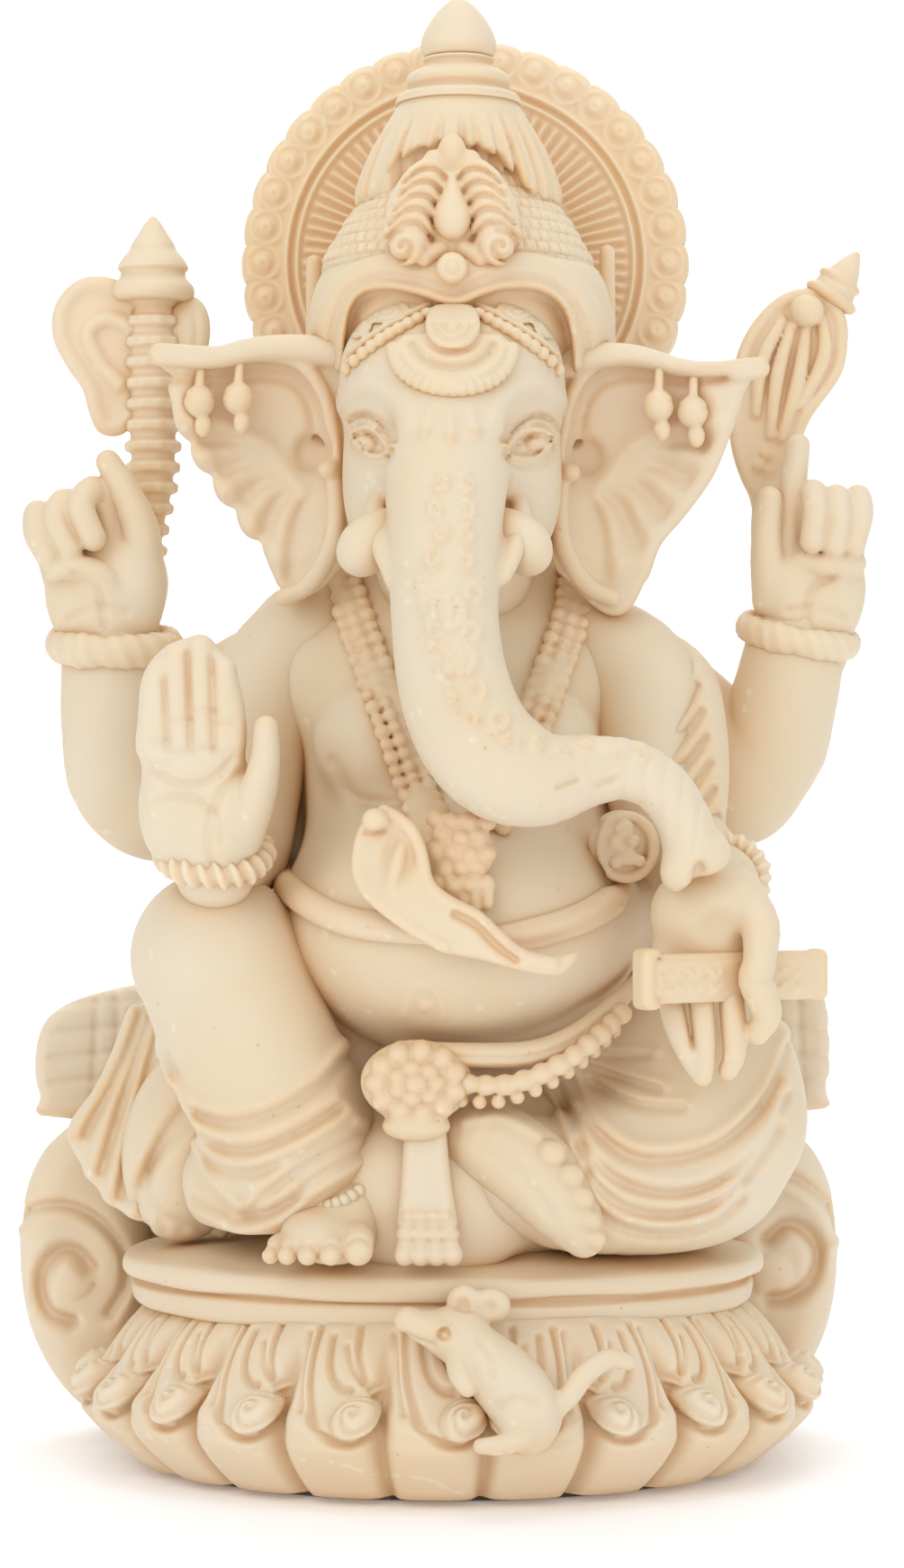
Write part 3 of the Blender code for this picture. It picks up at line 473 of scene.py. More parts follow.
def lathe(name, centre, profile, nodes, finish, points=240, rows=60, squash=1.0, relief=None, marks=()):
    """A turned body from a (radius, z) profile, smooth through its points, with relief(angle, t, z) and marks
    pressed into its surface. squash flattens it along y."""
    outline = spaced(curve(profile, 6), 0.01)
    wanted = np.linspace(0, len(outline) - 1, rows)
    radius = np.interp(wanted, np.arange(len(outline)), outline[:, 0])
    height = np.interp(wanted, np.arange(len(outline)), outline[:, 1])
    angle = np.arange(points) * math.tau / points
    ring = np.stack([np.cos(angle), np.sin(angle) * squash], 1)
    grid = np.zeros((rows, points, 3))
    grid[:, :, :2] = radius[:, None, None] * ring[None]
    grid[:, :, 2] = height[:, None]
    grid[:, :, 0] += centre[0]
    grid[:, :, 1] += centre[1]
    rise = np.zeros((rows, points))
    if relief:
        rise += relief(angle[None, :] + np.zeros((rows, 1)), np.linspace(0, 1, rows)[:, None],
                       height[:, None])
    flat = grid.reshape(-1, 3)
    for mark in marks:
        rise += mark(flat).reshape(rows, points)
    grid += grid_normals(grid) * rise[:, :, None]
    verts = grid.reshape(-1, 3)
    quads = grid_faces(rows, points)
    faces = quads.tolist()
    faces.append(list(range(points))[::-1])
    faces.append(list(range((rows - 1) * points, rows * points)))
    return new_piece(name, verts, faces, nodes, finish)


def bead_points(radius, rings=7, points=12):
    """A small ball's points and faces, round the origin."""
    verts = [(0, 0, radius)]
    for r in range(1, rings):
        polar = math.pi * r / rings
        for c in range(points):
            turn = math.tau * c / points
            verts.append((radius * math.sin(polar) * math.cos(turn),
                          radius * math.sin(polar) * math.sin(turn),
                          radius * math.cos(polar)))
    verts.append((0, 0, -radius))
    faces = []
    last = len(verts) - 1
    for c in range(points):
        n = (c + 1) % points
        faces.append((0, 1 + c, 1 + n))
        for r in range(rings - 2):
            a, b = 1 + r * points, 1 + (r + 1) * points
            faces.append((a + c, b + c, b + n, a + n))
        faces.append((last, last - points + n, last - points + c))
    return np.array(verts), faces


def string_of_beads(rows):
    """Points and faces of beads at (x, y, z, radius) places."""
    verts, faces = [], []
    for x, y, z, radius in rows:
        ball_verts, ball_faces = bead_points(radius)
        offset = sum(len(v) for v in verts)
        verts.append(ball_verts + (x, y, z))
        faces += [tuple(offset + k for k in face) for face in ball_faces]
    return np.concatenate(verts), faces


# ---------------------------------------------------------------- materials

def node(tree, kind, **inputs):
    made = tree.nodes.new(kind)
    for key, value in inputs.items():
        made.inputs[key.replace("_", " ")].default_value = value
    return made


def ramp(tree, source, stops):
    made = tree.nodes.new("ShaderNodeValToRGB")
    made.color_ramp.interpolation = "EASE"
    for k, (place, value) in enumerate(stops):
        stop = made.color_ramp.elements[k] if k < 2 else made.color_ramp.elements.new(place)
        stop.position = place
        stop.color = (value, value, value, 1) if isinstance(value, (int, float)) else (*value, 1)
    tree.links.new(source, made.inputs["Fac"])
    return made.outputs["Color"]


def blended(tree, factor, first, second, mode="MIX"):
    made = tree.nodes.new("ShaderNodeMix")
    made.data_type = "RGBA"
    made.blend_type = mode
    for socket, value in ((made.inputs[0], factor), (made.inputs[6], first), (made.inputs[7], second)):
        if isinstance(value, bpy.types.NodeSocket):
            tree.links.new(value, socket)
        else:
            socket.default_value = value if socket == made.inputs[0] else (*value, 1)
    return made.outputs[2]


def maths(tree, operation, first, second):
    made = tree.nodes.new("ShaderNodeMath")
    made.operation = operation
    made.use_clamp = True
    for socket, value in zip(made.inputs, (first, second)):
        if isinstance(value, bpy.types.NodeSocket):
            tree.links.new(value, socket)
        else:
            socket.default_value = value
    return made.outputs[0]


def resin(name, patina_and_shade=0.8, pale=(0.735, 0.645, 0.50), warm=(0.70, 0.435, 0.205), seed=0.0, recess=0.0024,
          broad_shade=0.45):
    """Cream marble-dust resin: recesses and creases washed in ochre, partly real and partly painted shade;
    painted warm shade over wide hollows; a painted highlight on sharp edges; fine mottling and casting
    pinholes.
    """
    material = bpy.data.materials.new(name)
    material.use_nodes = True
    tree = material.node_tree
    shader = tree.nodes["Principled BSDF"]
    link = tree.links.new
    where = tree.nodes.new("ShaderNodeTexCoord")
    shift = node(tree, "ShaderNodeMapping", Location=(seed, seed * 0.7, 0))
    link(where.outputs["Object"], shift.inputs["Vector"])

    hollow = node(tree, "ShaderNodeAmbientOcclusion", Distance=recess)
    hollow.samples = 3
    shade = node(tree, "ShaderNodeAmbientOcclusion", Distance=0.016)
    shade.samples = 2
    point = tree.nodes.new("ShaderNodeNewGeometry")
    depth = ramp(tree, hollow.outputs["AO"], ((0.22, 1.0), (0.88, 0.0)))
    crease = ramp(tree, point.outputs["Pointiness"], ((0.41, 1.0), (0.496, 0.0)))
    blotch = node(tree, "ShaderNodeTexNoise", Scale=95.0, Detail=4.0, Roughness=0.6)
    link(shift.outputs["Vector"], blotch.inputs["Vector"])
    uneven = ramp(tree, blotch.outputs["Fac"], ((0.30, 0.5), (0.66, 1.0)))
    # Partly real ochre and partly painted shade: narrow recesses and creases are darkened and warmed where
    # shade falls, mottled by noise.
    wash_and_shade = maths(tree, "MAXIMUM", depth, maths(tree, "MULTIPLY", crease, 0.8))
    wash_and_shade = maths(tree, "MULTIPLY", maths(tree, "MULTIPLY", wash_and_shade, uneven), patina_and_shade)

    cloud = node(tree, "ShaderNodeTexNoise", Scale=38.0, Detail=3.0, Roughness=0.5)
    link(shift.outputs["Vector"], cloud.inputs["Vector"])
    tone = ramp(tree, cloud.outputs["Fac"], ((0.35, tuple(c * k for c, k in zip(pale, (0.985, 0.95, 0.88)))),
                                             (0.65, pale)))
    # Painted shade: a 16 mm occlusion darkens and warms the tone over wide hollows and between parts, where
    # shade falls.
    painted_shade = maths(tree, "MULTIPLY", ramp(tree, shade.outputs["AO"], ((0.25, 1.0), (0.92, 0.0))), broad_shade)
    tone = blended(tree, painted_shade, tone, tuple(c * k for c, k in zip(pale, (1.05, 0.78, 0.52))))
    # Painted highlight: sharp convex edges, found by pointiness, are turned a lighter cream.
    edge = ramp(tree, point.outputs["Pointiness"], ((0.505, 0.0), (0.60, 0.55)))
    tone = blended(tree, edge, tone, (0.80, 0.72, 0.585))
    colour = blended(tree, wash_and_shade, tone, warm)

    speck = node(tree, "ShaderNodeTexVoronoi", Scale=520.0, Randomness=1.0)
    link(shift.outputs["Vector"], speck.inputs["Vector"])
    pit_here = node(tree, "ShaderNodeTexNoise", Scale=210.0, Detail=2.0)
    link(shift.outputs["Vector"], pit_here.inputs["Vector"])
    pits = maths(tree, "MULTIPLY", ramp(tree, speck.outputs["Distance"], ((0.05, 1.0), (0.17, 0.0))),
                 ramp(tree, pit_here.outputs["Fac"], ((0.60, 0.0), (0.68, 1.0))))
    colour = blended(tree, maths(tree, "MULTIPLY", pits, 0.45), colour, (0.50, 0.28, 0.12))
    link(colour, shader.inputs["Base Color"])

    rough = node(tree, "ShaderNodeTexNoise", Scale=420.0, Detail=3.0)
    link(shift.outputs["Vector"], rough.inputs["Vector"])
    gloss = tree.nodes.new("ShaderNodeMapRange")
    gloss.inputs["To Min"].default_value = 0.46
    gloss.inputs["To Max"].default_value = 0.66
    link(rough.outputs["Fac"], gloss.inputs["Value"])
    link(gloss.outputs["Result"], shader.inputs["Roughness"])
    shader.inputs["Specular IOR Level"].default_value = 0.42
    shader.inputs["Subsurface Weight"].default_value = 0.35
    shader.inputs["Subsurface Radius"].default_value = (1.0, 0.6, 0.3)
    shader.inputs["Subsurface Scale"].default_value = 0.0022

    relief = maths(tree, "SUBTRACT", maths(tree, "MULTIPLY", rough.outputs["Fac"], 0.35), pits)
    bump = node(tree, "ShaderNodeBump", Strength=0.35, Distance=0.00018)
    link(relief, bump.inputs["Height"])
    link(bump.outputs["Normal"], shader.inputs["Normal"])
    return material


def felt_and_shadow_finish():
    """Dark brown felt, a guessed part whose dark rim under the base also stands in for the contact shadow
    there as painted shade: a tangle of fibres with a soft sheen.
    """
    material = bpy.data.materials.new("felt")
    material.use_nodes = True
    tree = material.node_tree
    shader = tree.nodes["Principled BSDF"]
    where = tree.nodes.new("ShaderNodeTexCoord")
    fibre = node(tree, "ShaderNodeTexNoise", Scale=900.0, Detail=6.0, Roughness=0.75)
    tree.links.new(where.outputs["Object"], fibre.inputs["Vector"])
    colour = ramp(tree, fibre.outputs["Fac"], ((0.35, (0.05, 0.038, 0.03)), (0.7, (0.16, 0.125, 0.10))))
    tree.links.new(colour, shader.inputs["Base Color"])
    shader.inputs["Roughness"].default_value = 0.95
    shader.inputs["Sheen Weight"].default_value = 0.5
    bump = node(tree, "ShaderNodeBump", Strength=0.6, Distance=0.0003)
    tree.links.new(fibre.outputs["Fac"], bump.inputs["Height"])
    tree.links.new(bump.outputs["Normal"], shader.inputs["Normal"])
    return material


SKIN = resin("skin_resin", patina_and_shade=0.82)
CLOTH = resin("cloth_resin", patina_and_shade=0.8, seed=0.3)
ORNAMENT = resin("ornament_resin", patina_and_shade=0.9, seed=0.6, pale=(0.75, 0.64, 0.475), broad_shade=0.55)
HALO = resin("halo_resin", patina_and_shade=0.6, seed=0.9, pale=(0.80, 0.655, 0.46), broad_shade=0.55)
THRONE = resin("throne_resin", patina_and_shade=0.9, seed=1.2, pale=(0.745, 0.65, 0.505), broad_shade=0.35)
MOUSE = resin("mouse_resin", patina_and_shade=0.8, seed=1.5)
FELT_AND_SHADOW = felt_and_shadow_finish()


# ---------------------------------------------------------------- base and throne

# A guessed felt sheet under the base; its dark colour also stands in for the shadow line beneath the base, as
# painted shade.
def felt_pad():
    half = 38.8, 29.8
    rings = []
    for share, z in ((0.985, 0.0), (1.0, 0.15), (1.0, 0.85), (0.985, 1.0)):
        angle = np.arange(160) * math.tau / 160
        wave = 1 + 0.002 * np.sin(37 * angle) * np.cos(11 * angle)
        rings.append(np.stack([half[0] * share * wave * np.cos(angle), half[1] * share * wave * np.sin(angle),
                               np.full(160, z)], 1))
    faces = grid_faces(4, 160).tolist() + [list(range(160))[::-1], list(range(480, 640))]
    new_piece("felt_pad_visual", np.concatenate(rings), faces, ["felt_pad"], FELT_AND_SHADOW, 40)


def lotus_base():
    """Petals that sweep out and down from the seat to a lip with a curl at one corner, round underneath."""
    around, rows = PETALS * 44, 150
    angle = np.arange(around) * math.tau / around
    from_front = (angle - math.radians(PETAL_TURN)) * PETALS / math.tau
    u = ((from_front + 0.5) % 1 * 2 - 1)[None, :]                # -1 to 1 across each petal
    hand = np.where(np.sin((np.round(from_front) * math.tau / PETALS)) > 0.01, 1.0, -1.0)[None, :]
    profile = curve([(0.80, 23.6), (0.835, 22.4), (0.885, 19.8), (0.935, 15.8), (0.975, 12.4), (1.0, 10.0),
                     (1.005, 8.6), (0.99, 7.2), (0.955, 5.2), (0.915, 3.4), (0.875, 1.8), (0.85, 1.0)], 8)
    outline = spaced(profile * (50, 1), 0.04)
    pick = np.linspace(0, len(outline) - 1, rows)
    share = np.interp(pick, np.arange(len(outline)), outline[:, 0])[:, None] / 50
    height = np.interp(pick, np.arange(len(outline)), outline[:, 1])[:, None]
    t = np.linspace(0, 1, rows)[:, None] / LIP_AT                  # 0 at the seat, 1 at the lip
    crown = 1 - np.abs(u) ** 3
    valley = np.exp(-((1 - np.abs(u)) / 0.17) ** 2)
    down = np.clip((t - 1) / (1 / LIP_AT - 1), 0, 1)
    ease = np.clip(t, 0, 1) ** 2 * (3 - 2 * np.clip(t, 0, 1))
    swell = 1.6 * ease * crown * (1 - 0.3 * down) - (2.5 * ease + 0.6 * down) * valley * (1 - 0.35 * down)
    swell = swell + 0.7 * np.exp(-((t - 1.0) / 0.10) ** 2) * np.clip(crown * 2.0, 0, 1)
    lift = 1.5 * np.exp(-((t - 1) / 0.3) ** 2) * (np.abs(u) ** 2.2 - 0.45)
    grid = np.zeros((rows, around, 3))
    grid[:, :, 0] = (48.6 * share + swell) * np.sin(angle)[None]
    grid[:, :, 1] = -(39.0 * share + swell) * np.cos(angle)[None]
    grid[:, :, 2] = height + lift
    flat = np.stack([(u * hand * 8.4 + 0 * t).ravel(), (t * 17.0 + 0 * u).ravel()], 1)
    relief = np.zeros(len(flat))
    live = flat[:, 1] < 22.5
    for points, width, depth in PETAL_LINES:
        squared, _ = polyline_distance(flat[live], curve(points, 6))
        relief[live] += depth * np.exp(-squared / width**2)
    reach = np.hypot((flat[:, 0] - CURL[0]) * 0.86, (flat[:, 1] - CURL[1]) * 0.95)
    relief = np.where(reach < 3.3, np.maximum(relief, -0.5), relief)
    relief += 2.4 * np.sqrt(np.clip(1 - (reach / 2.95) ** 2, 0, 1))
    turn = np.arctan2(flat[:, 1] - CURL[1], flat[:, 0] - CURL[0])
    winding = (reach - 0.2 * (turn + math.pi)) / 1.25
    relief -= 0.5 * np.exp(-((winding % 1 - 0.5) / 0.2) ** 2) * np.clip((2.6 - reach) / 0.4, 0, 1)
    grid = grid - grid_normals(grid) * relief.reshape(rows, around, 1)
    grid[:, :, 2] = np.maximum(grid[:, :, 2], 1.0)
    faces = grid_faces(rows, around)[:, ::-1].tolist()
    faces.append(list(range(around)))
    faces.append(list(range((rows - 1) * around, rows * around))[::-1])
    cut_back(new_piece("lotus_petals", grid.reshape(-1, 3), faces, ["lotus_base"], THRONE),
             "lotus_base")


def seat_slab():
    profile = [(41.0, 22.2), (42.3, 22.5), (42.7, 24.6), (42.3, 25.3), (41.6, 25.7), (41.9, 26.1),
               (43.5, 26.3),
               (44.0, 27.0), (43.9, 28.2), (43.2, 28.9), (41.0, 29.5), (35.0, 30.6), (25.0, 31.2),
               (10.0, 31.4),
               (2.0, 31.4)]

    def wobble(angle, t, z):
        return (0.22 * np.sin(3 * angle + 1) + 0.15 * np.sin(7 * angle + 5 * t)
                + 0.10 * np.sin(13 * angle + 9 * t))
    slab_piece = lathe("seat_slab_visual", (-1.0, -1.0), profile, ["seat_slab"], THRONE,
                       points=300, rows=110,
                       squash=0.705, relief=wobble)
    cut_back(slab_piece, "seat_slab")


def throne():
    clay = Clay()
    clay.add(slab((0, 26, 23), (48.5, 4.0, 21.5), 2.5))
    clay.mark(stroke([(-44, 8), (-44, 40), (44, 40), (44, 8), (-44, 8)], 1.0, -0.8, y=(26, 40)),
              stroke([(-40, 12), (-40, 36), (40, 36), (40, 12), (-40, 12)], 0.8, 0.5, y=(26, 40)))
    model("throne_back_visual", clay, ["throne_back"], THRONE, cell=1.5, margin=2)

    rest = curve([(-54, 44.6), (0, 45.2), (50, 45.6), (54.6, 49), (55.0, 58), (53.4, 63.4), (45, 66.0),
                  (20, 67.6),
                  (0, 68), (-24, 66.8), (-46, 63.8), (-56.4, 60.4), (-59.4, 55.0), (-58.8, 48.0)], 4,
                  True)[:-1]
    clay = Clay()
    clay.add(sheet(rest, lambda x, z: 25.2 + 0 * x, 3.2, 2.0))
    for side in (-1, 1):
        for k in range(4):
            clay.mark(stroke([(side * 57, 50 + 3.6 * k), (side * 44, 51 + 3.7 * k)], 0.5, -0.45, y=(10, 25)))
        clay.mark(stroke([(side * 51, 48), (side * 50.4, 62)], 0.5, -0.35, y=(10, 25)),
                  stroke([(side * 47.6, 50), (side * 47.4, 64)], 0.5, -0.35, y=(10, 25)))
    clay.mark(stroke(rest * (0.93, 0.80) + (0, 11.3), 0.9, -0.6, y=(25, 40)))
    model("backrest_visual", clay, ["backrest"], THRONE, cell=1.1, margin=2)

    for side, name, eye, out in ((-1, "right_scroll", (-52.6, 23.6), 60.6),
                                 (1, "left_scroll", (45.4, 24.0), 55.2)):
        edge = curve([(side * (out - 10), 45.4), (side * (out - 4.0), 41.8), (side * (out - 0.8), 35),
                      (side * out, 26), (side * (out - 1.4), 16.5), (side * (out - 5.4), 8.6),
                      (side * (out - 11), 4.0),
                      (side * (out - 19), 5), (side * (out - 18), 25), (side * (out - 16), 42)], 5, True)[:-1]
        clay = Clay()
        clay.add(sheet(edge, lambda x, z: 17.6 + 0 * x, 8.0, 5.0))
        hook = {-1: [(-50.4, 25.0), (-52.4, 27.3), (-55.0, 27.0), (-57.0, 24.2), (-57.0, 20.8),
                     (-55.6, 18.4), (-53.0, 17.4)],
                1: [(45.0, 29.0), (47.6, 31.0), (50.4, 30.0), (52.0, 27.0), (51.0, 23.0), (48.0, 20.8),
                    (45.6, 20.6)]}[side]
        rim = {-1: [(-60.4, 31.6), (-57.0, 33.6), (-52.4, 33.4), (-48.4, 31.0), (-45.6, 27.0),
                    (-45.2, 22.6), (-47.4, 18.6)],
               1: [(41.0, 37.2), (45.6, 38.4), (50.0, 36.8), (53.2, 33.6), (55.0, 30.0)]}[side]
        clay.mark(stroke(curve(hook, 6), 1.15, -2.4, y=(-20, 16)),
                  stroke(curve(rim, 6), 0.85, -1.4, y=(-20, 16)),
                  stroke(curve(rim, 6) + (-side * 0.4, -1.5), 1.1, 0.6, y=(-20, 16)),
                  dots([eye], 3.0, 0.9, y=(-20, 16)))
        clay.mark(stroke(spiral(eye, 8.2, 1.4, 118 if side < 0 else 62, side, 0.16, 40), 1.1, -1.2,
                         y=(20, 60)))
        model(name + "_visual", clay, [name], THRONE, margin=3)


# ---------------------------------------------------------------- halo and crown

def halo():
    """A disc with a scalloped, bossed rim, a double ring and fine flutes inside, plain behind."""
    cx, cz = 2.5, 167.0
    lobes, points = 36, 36 * 20
    angle = np.arange(points) * math.tau / points
    front = np.concatenate([np.linspace(0.4, 15, 12), np.linspace(15.3, 31.8, 74)])
    turn = np.abs(((angle * lobes / math.tau) % 1) - 0.5) * 2                # 0 in a lobe's middle, 1 between
    turn = 1 - np.abs(((angle * lobes / math.tau + 0.5) % 1) - 0.5) * 2
    outer = 31.3 + 0.75 * np.sqrt(np.clip(1 - (1 - turn) ** 2, 0, 1)) - 0.55

    def relief(r, a):
        lobe = (((a * lobes / math.tau) + 0.5) % 1 - 0.5) * math.tau / lobes * r
        boss = 0.95 * np.exp(-(((r - 28.7) / 1.25) ** 2 + (lobe / 1.25) ** 2) ** 1.3)
        eye = -0.35 * np.exp(-(((r - 28.7) / 0.5) ** 2 + ((lobe - 0.25) / 0.5) ** 2))
        ring_d = np.hypot(r - 28.7, lobe)
        curl = 0.28 * np.exp(-((ring_d - 2.3) / 0.35) ** 2) * (r > 26.0)
        rings = (0.85 * np.exp(-((r - 25.4) / 0.55) ** 2) + 0.7 * np.exp(-((r - 23.9) / 0.5) ** 2)
                 - 0.4 * np.exp(-((r - 24.65) / 0.3) ** 2))
        flutes = 0.34 * np.cos(a * 84) * np.clip((23.2 - r) / 1.0, 0, 1) * np.clip((r - 15.5) / 1.0, 0, 1)
        inner = 0.7 * np.exp(-((r - 14.8) / 0.6) ** 2)
        rim = -1.1 * np.clip((r - 30.2) / 1.6, 0, 1) ** 2
        return 0.9 + boss + eye + curl + rings + flutes + inner + rim

    rows = []
    for r in front:
        reach = np.minimum(r, outer) if r > 30 else np.full(points, r)
        if r > 30:
            reach = 30 + (r - 30) / 1.8 * (outer - 30)
        y = 15.9 - relief(reach, angle)
        rows.append(np.stack([cx + reach * np.cos(angle), y, cz + reach * np.sin(angle)], 1))
    for share, y in ((1.012, 17.0), (1.015, 18.6), (1.0, 20.0), (0.97, 20.9), (0.92, 21.0), (0.80, 20.6),
                     (0.78, 20.1), (0.76, 20.1), (0.74, 20.6), (0.3, 20.6), (0.02, 20.6)):
        reach = outer * share
        rows.append(np.stack([cx + reach * np.cos(angle), np.full(points, y), cz + reach * np.sin(angle)], 1))
    grid = np.stack(rows)
    count = len(rows)
    faces = grid_faces(count, points)[:, ::-1].tolist()
    faces.append(list(range(points)))
    faces.append(list(range((count - 1) * points, count * points))[::-1])
    new_piece("halo_visual", grid.reshape(-1, 3), faces, ["halo_rim", "halo_disc"], HALO)

    stem = Clay()
    stem.add(limb([(2, 13, 108, 6.5), (2, 15, 124, 8.0), (2, 15.5, 140, 7.0), (2, 16.5, 152, 5.0)],
                  (1, 0.62)))
    for k in range(-3, 4):
        stem.mark(stroke([(2 + 2.0 * k, 106), (2 + 2.4 * k, 124), (2 + 1.8 * k, 150)], 0.7, -0.6, y=(14, 40)))
    model("halo_stem_visual", stem, ["halo_stem"], HALO, margin=5,
          extent=((-12, 4, 99), (16, 25, 160)))


def crown():
    axis = (1.5, -4.0)
    lathe("crown_finial_visual", axis, [(0.2, 191.8), (4.1, 192.1), (4.9, 192.8), (5.2, 193.9), (4.9, 195.2),
                                        (4.15, 196.7), (3.2, 198.1), (2.1, 199.3), (1.0, 200.1),
                                        (0.1, 200.4)],
          ["crown_finial"], ORNAMENT, 120, 60)
    lathe("crown_spire_visual", axis, [(0.2, 185.4), (8.0, 185.6), (8.5, 186.2), (8.1, 187.0), (7.0, 187.4),
                                       (6.7, 187.9), (7.1, 188.6), (7.0, 189.5), (6.0, 190.3), (4.9, 190.8),
                                       (4.5, 191.4), (4.7, 192.1), (0.2, 192.3)],
          ["crown_spire"], ORNAMENT, 160, 90)

    def pleats(p):
        angle = np.arctan2(p[:, 1] - axis[1], p[:, 0] - axis[0])
        low = np.clip((183.6 - p[:, 2]) / 4.0, 0, 1) * (np.hypot(p[:, 0] - axis[0], p[:, 1] - axis[1]) > 8.2)
        flutes = np.abs(np.sin(14 * angle + 0.4 * np.sin(5 * angle))) ** 0.7 - 0.6
        return low * (0.85 * flutes + 0.22 * np.sin(43 * angle + 1.3))
    shade = curve([(0.4, 186.2), (7.4, 186.2), (8.4, 185.4), (9.5, 183.6), (11.0, 180.6), (12.7, 176.8),
                   (13.8, 173.4),
                   (13.4, 171.8), (11.6, 172.4), (10.4, 174.4), (8.0, 175.4), (0.4, 175.4)], 3, True)[:-1]
    opening = curve([(-10.4, 166.0), (-10.2, 171.6), (-8.6, 174.8), (-6.0, 177.2), (-3.0, 178.3),
                     (0.6, 178.8),
                     (4.2, 178.2), (7.4, 176.6), (10.4, 173.4), (12.6, 170.6), (12.8, 166.0)], 4, True)[:-1]
    clay = Clay().add(turned(axis, shade))
    clay.cut(prism(opening, -13.0), 0.7)
    clay.mark(pleats)
    model("crown_canopy_visual", clay, ["crown_canopy"], ORNAMENT, cell=0.8,
          extent=((-14, -20, 168), (17, 12, 189)))

    def scales(angle, t, z):
        row = (z - 162) / 1.6
        offset = (np.floor(row) % 2) * 0.5
        cell = (angle * 56 / math.tau + offset) % 1 - 0.5
        up = row % 1 - 0.5
        live = np.clip((176.0 - z) / 1.0, 0, 1) * np.clip((z - 162.4) / 1.0, 0, 1)
        soft = 0.75 + 0.25 * np.sin(9 * angle + 2.0 * row)
        return 0.42 * live * soft * (1 - np.clip(np.abs(cell) / 0.5, 0,
                                                 1) ** 5) * (1 - np.clip(np.abs(up) / 0.5, 0, 1) ** 4)
    lathe("crown_dome_visual", (1.4, -4.5), [(17.6, 158.5), (18.6, 161.0), (18.2, 164.0), (16.6, 167.2),
                                             (14.3, 170.6),
                                             (11.9, 173.6), (9.4, 175.8), (0.2, 176.4)],
          ["crown_dome"], ORNAMENT, 56 * 10, 130, squash=0.95, relief=scales)

    outline = curve([(0.5, 149.0), (18.0, 148.6), (19.6, 149.8), (20.6, 153.0), (20.8, 156.0), (20.3, 159.0),
                     (19.4, 161.6), (18.0, 163.2), (14.0, 163.6), (0.5, 163.6)], 3, True)[:-1]
    outer = curve([(-20.4, 147.0), (-18.6, 152.8), (-16.6, 157.6), (-13.0, 161.4), (-8.0, 162.9),
                   (-3.6, 162.6), (0.6, 161.4),
                   (4.8, 162.5), (10.6, 162.9), (15.6, 161.4), (19.4, 157.6), (21.6, 152.8), (23.0, 147.0)],
                   6)
    inner = curve([(-14.2, 147.0), (-14.0, 151.6), (-13.2, 156.2), (-11.3, 158.3), (-7.9, 158.6),
                   (-4.2, 157.7), (0.8, 156.0),
                   (4.2, 157.3), (7.5, 158.4), (12.0, 158.5), (15.3, 156.6), (16.8, 152.6), (17.1, 147.0)], 6)
    clay = Clay().add(turned((1.8, -5.0), outline, 0.93))
    clay.cut(prism(inner, -9.0), 0.8)
    clay.add(turned((1.2, -6.0), [(0.5, 149.0), (16.4, 149.0), (17.4, 152.5), (17.2, 156.0), (16.4, 160.5),
                                  (0.5, 160.5)], 0.96), 0.6)
    for share, height, width in ((0.02, 0.75, 0.6), (0.24, 0.6, 0.55), (0.46, 0.55, 0.55), (0.95, 0.7, 0.7)):
        clay.mark(stroke(outer * (1 - share) + inner * share, width, height, y=(-99, -1)))
    clay.mark(stroke(outer * 0.3 + inner * 0.7, 1.0, -0.35, y=(-99, -1)))
    for z in (162.0, 159.4, 156.8, 154.2, 151.6):
        clay.mark(stroke([(-25, z), (28, z)], 0.6, 0.7, y=(-1, 99)))
    for x, top in ((-18.6, 165.6), (22.2, 167.0)):
        clay.add(limb([(x, 5.0, 152.0, 1.2), (x, 5.0, top, 1.1)]), 0.4)
    model("crown_band_visual", clay, ["crown_band"], ORNAMENT,
          extent=((-23, -31, 146), (27, 17, 169)))


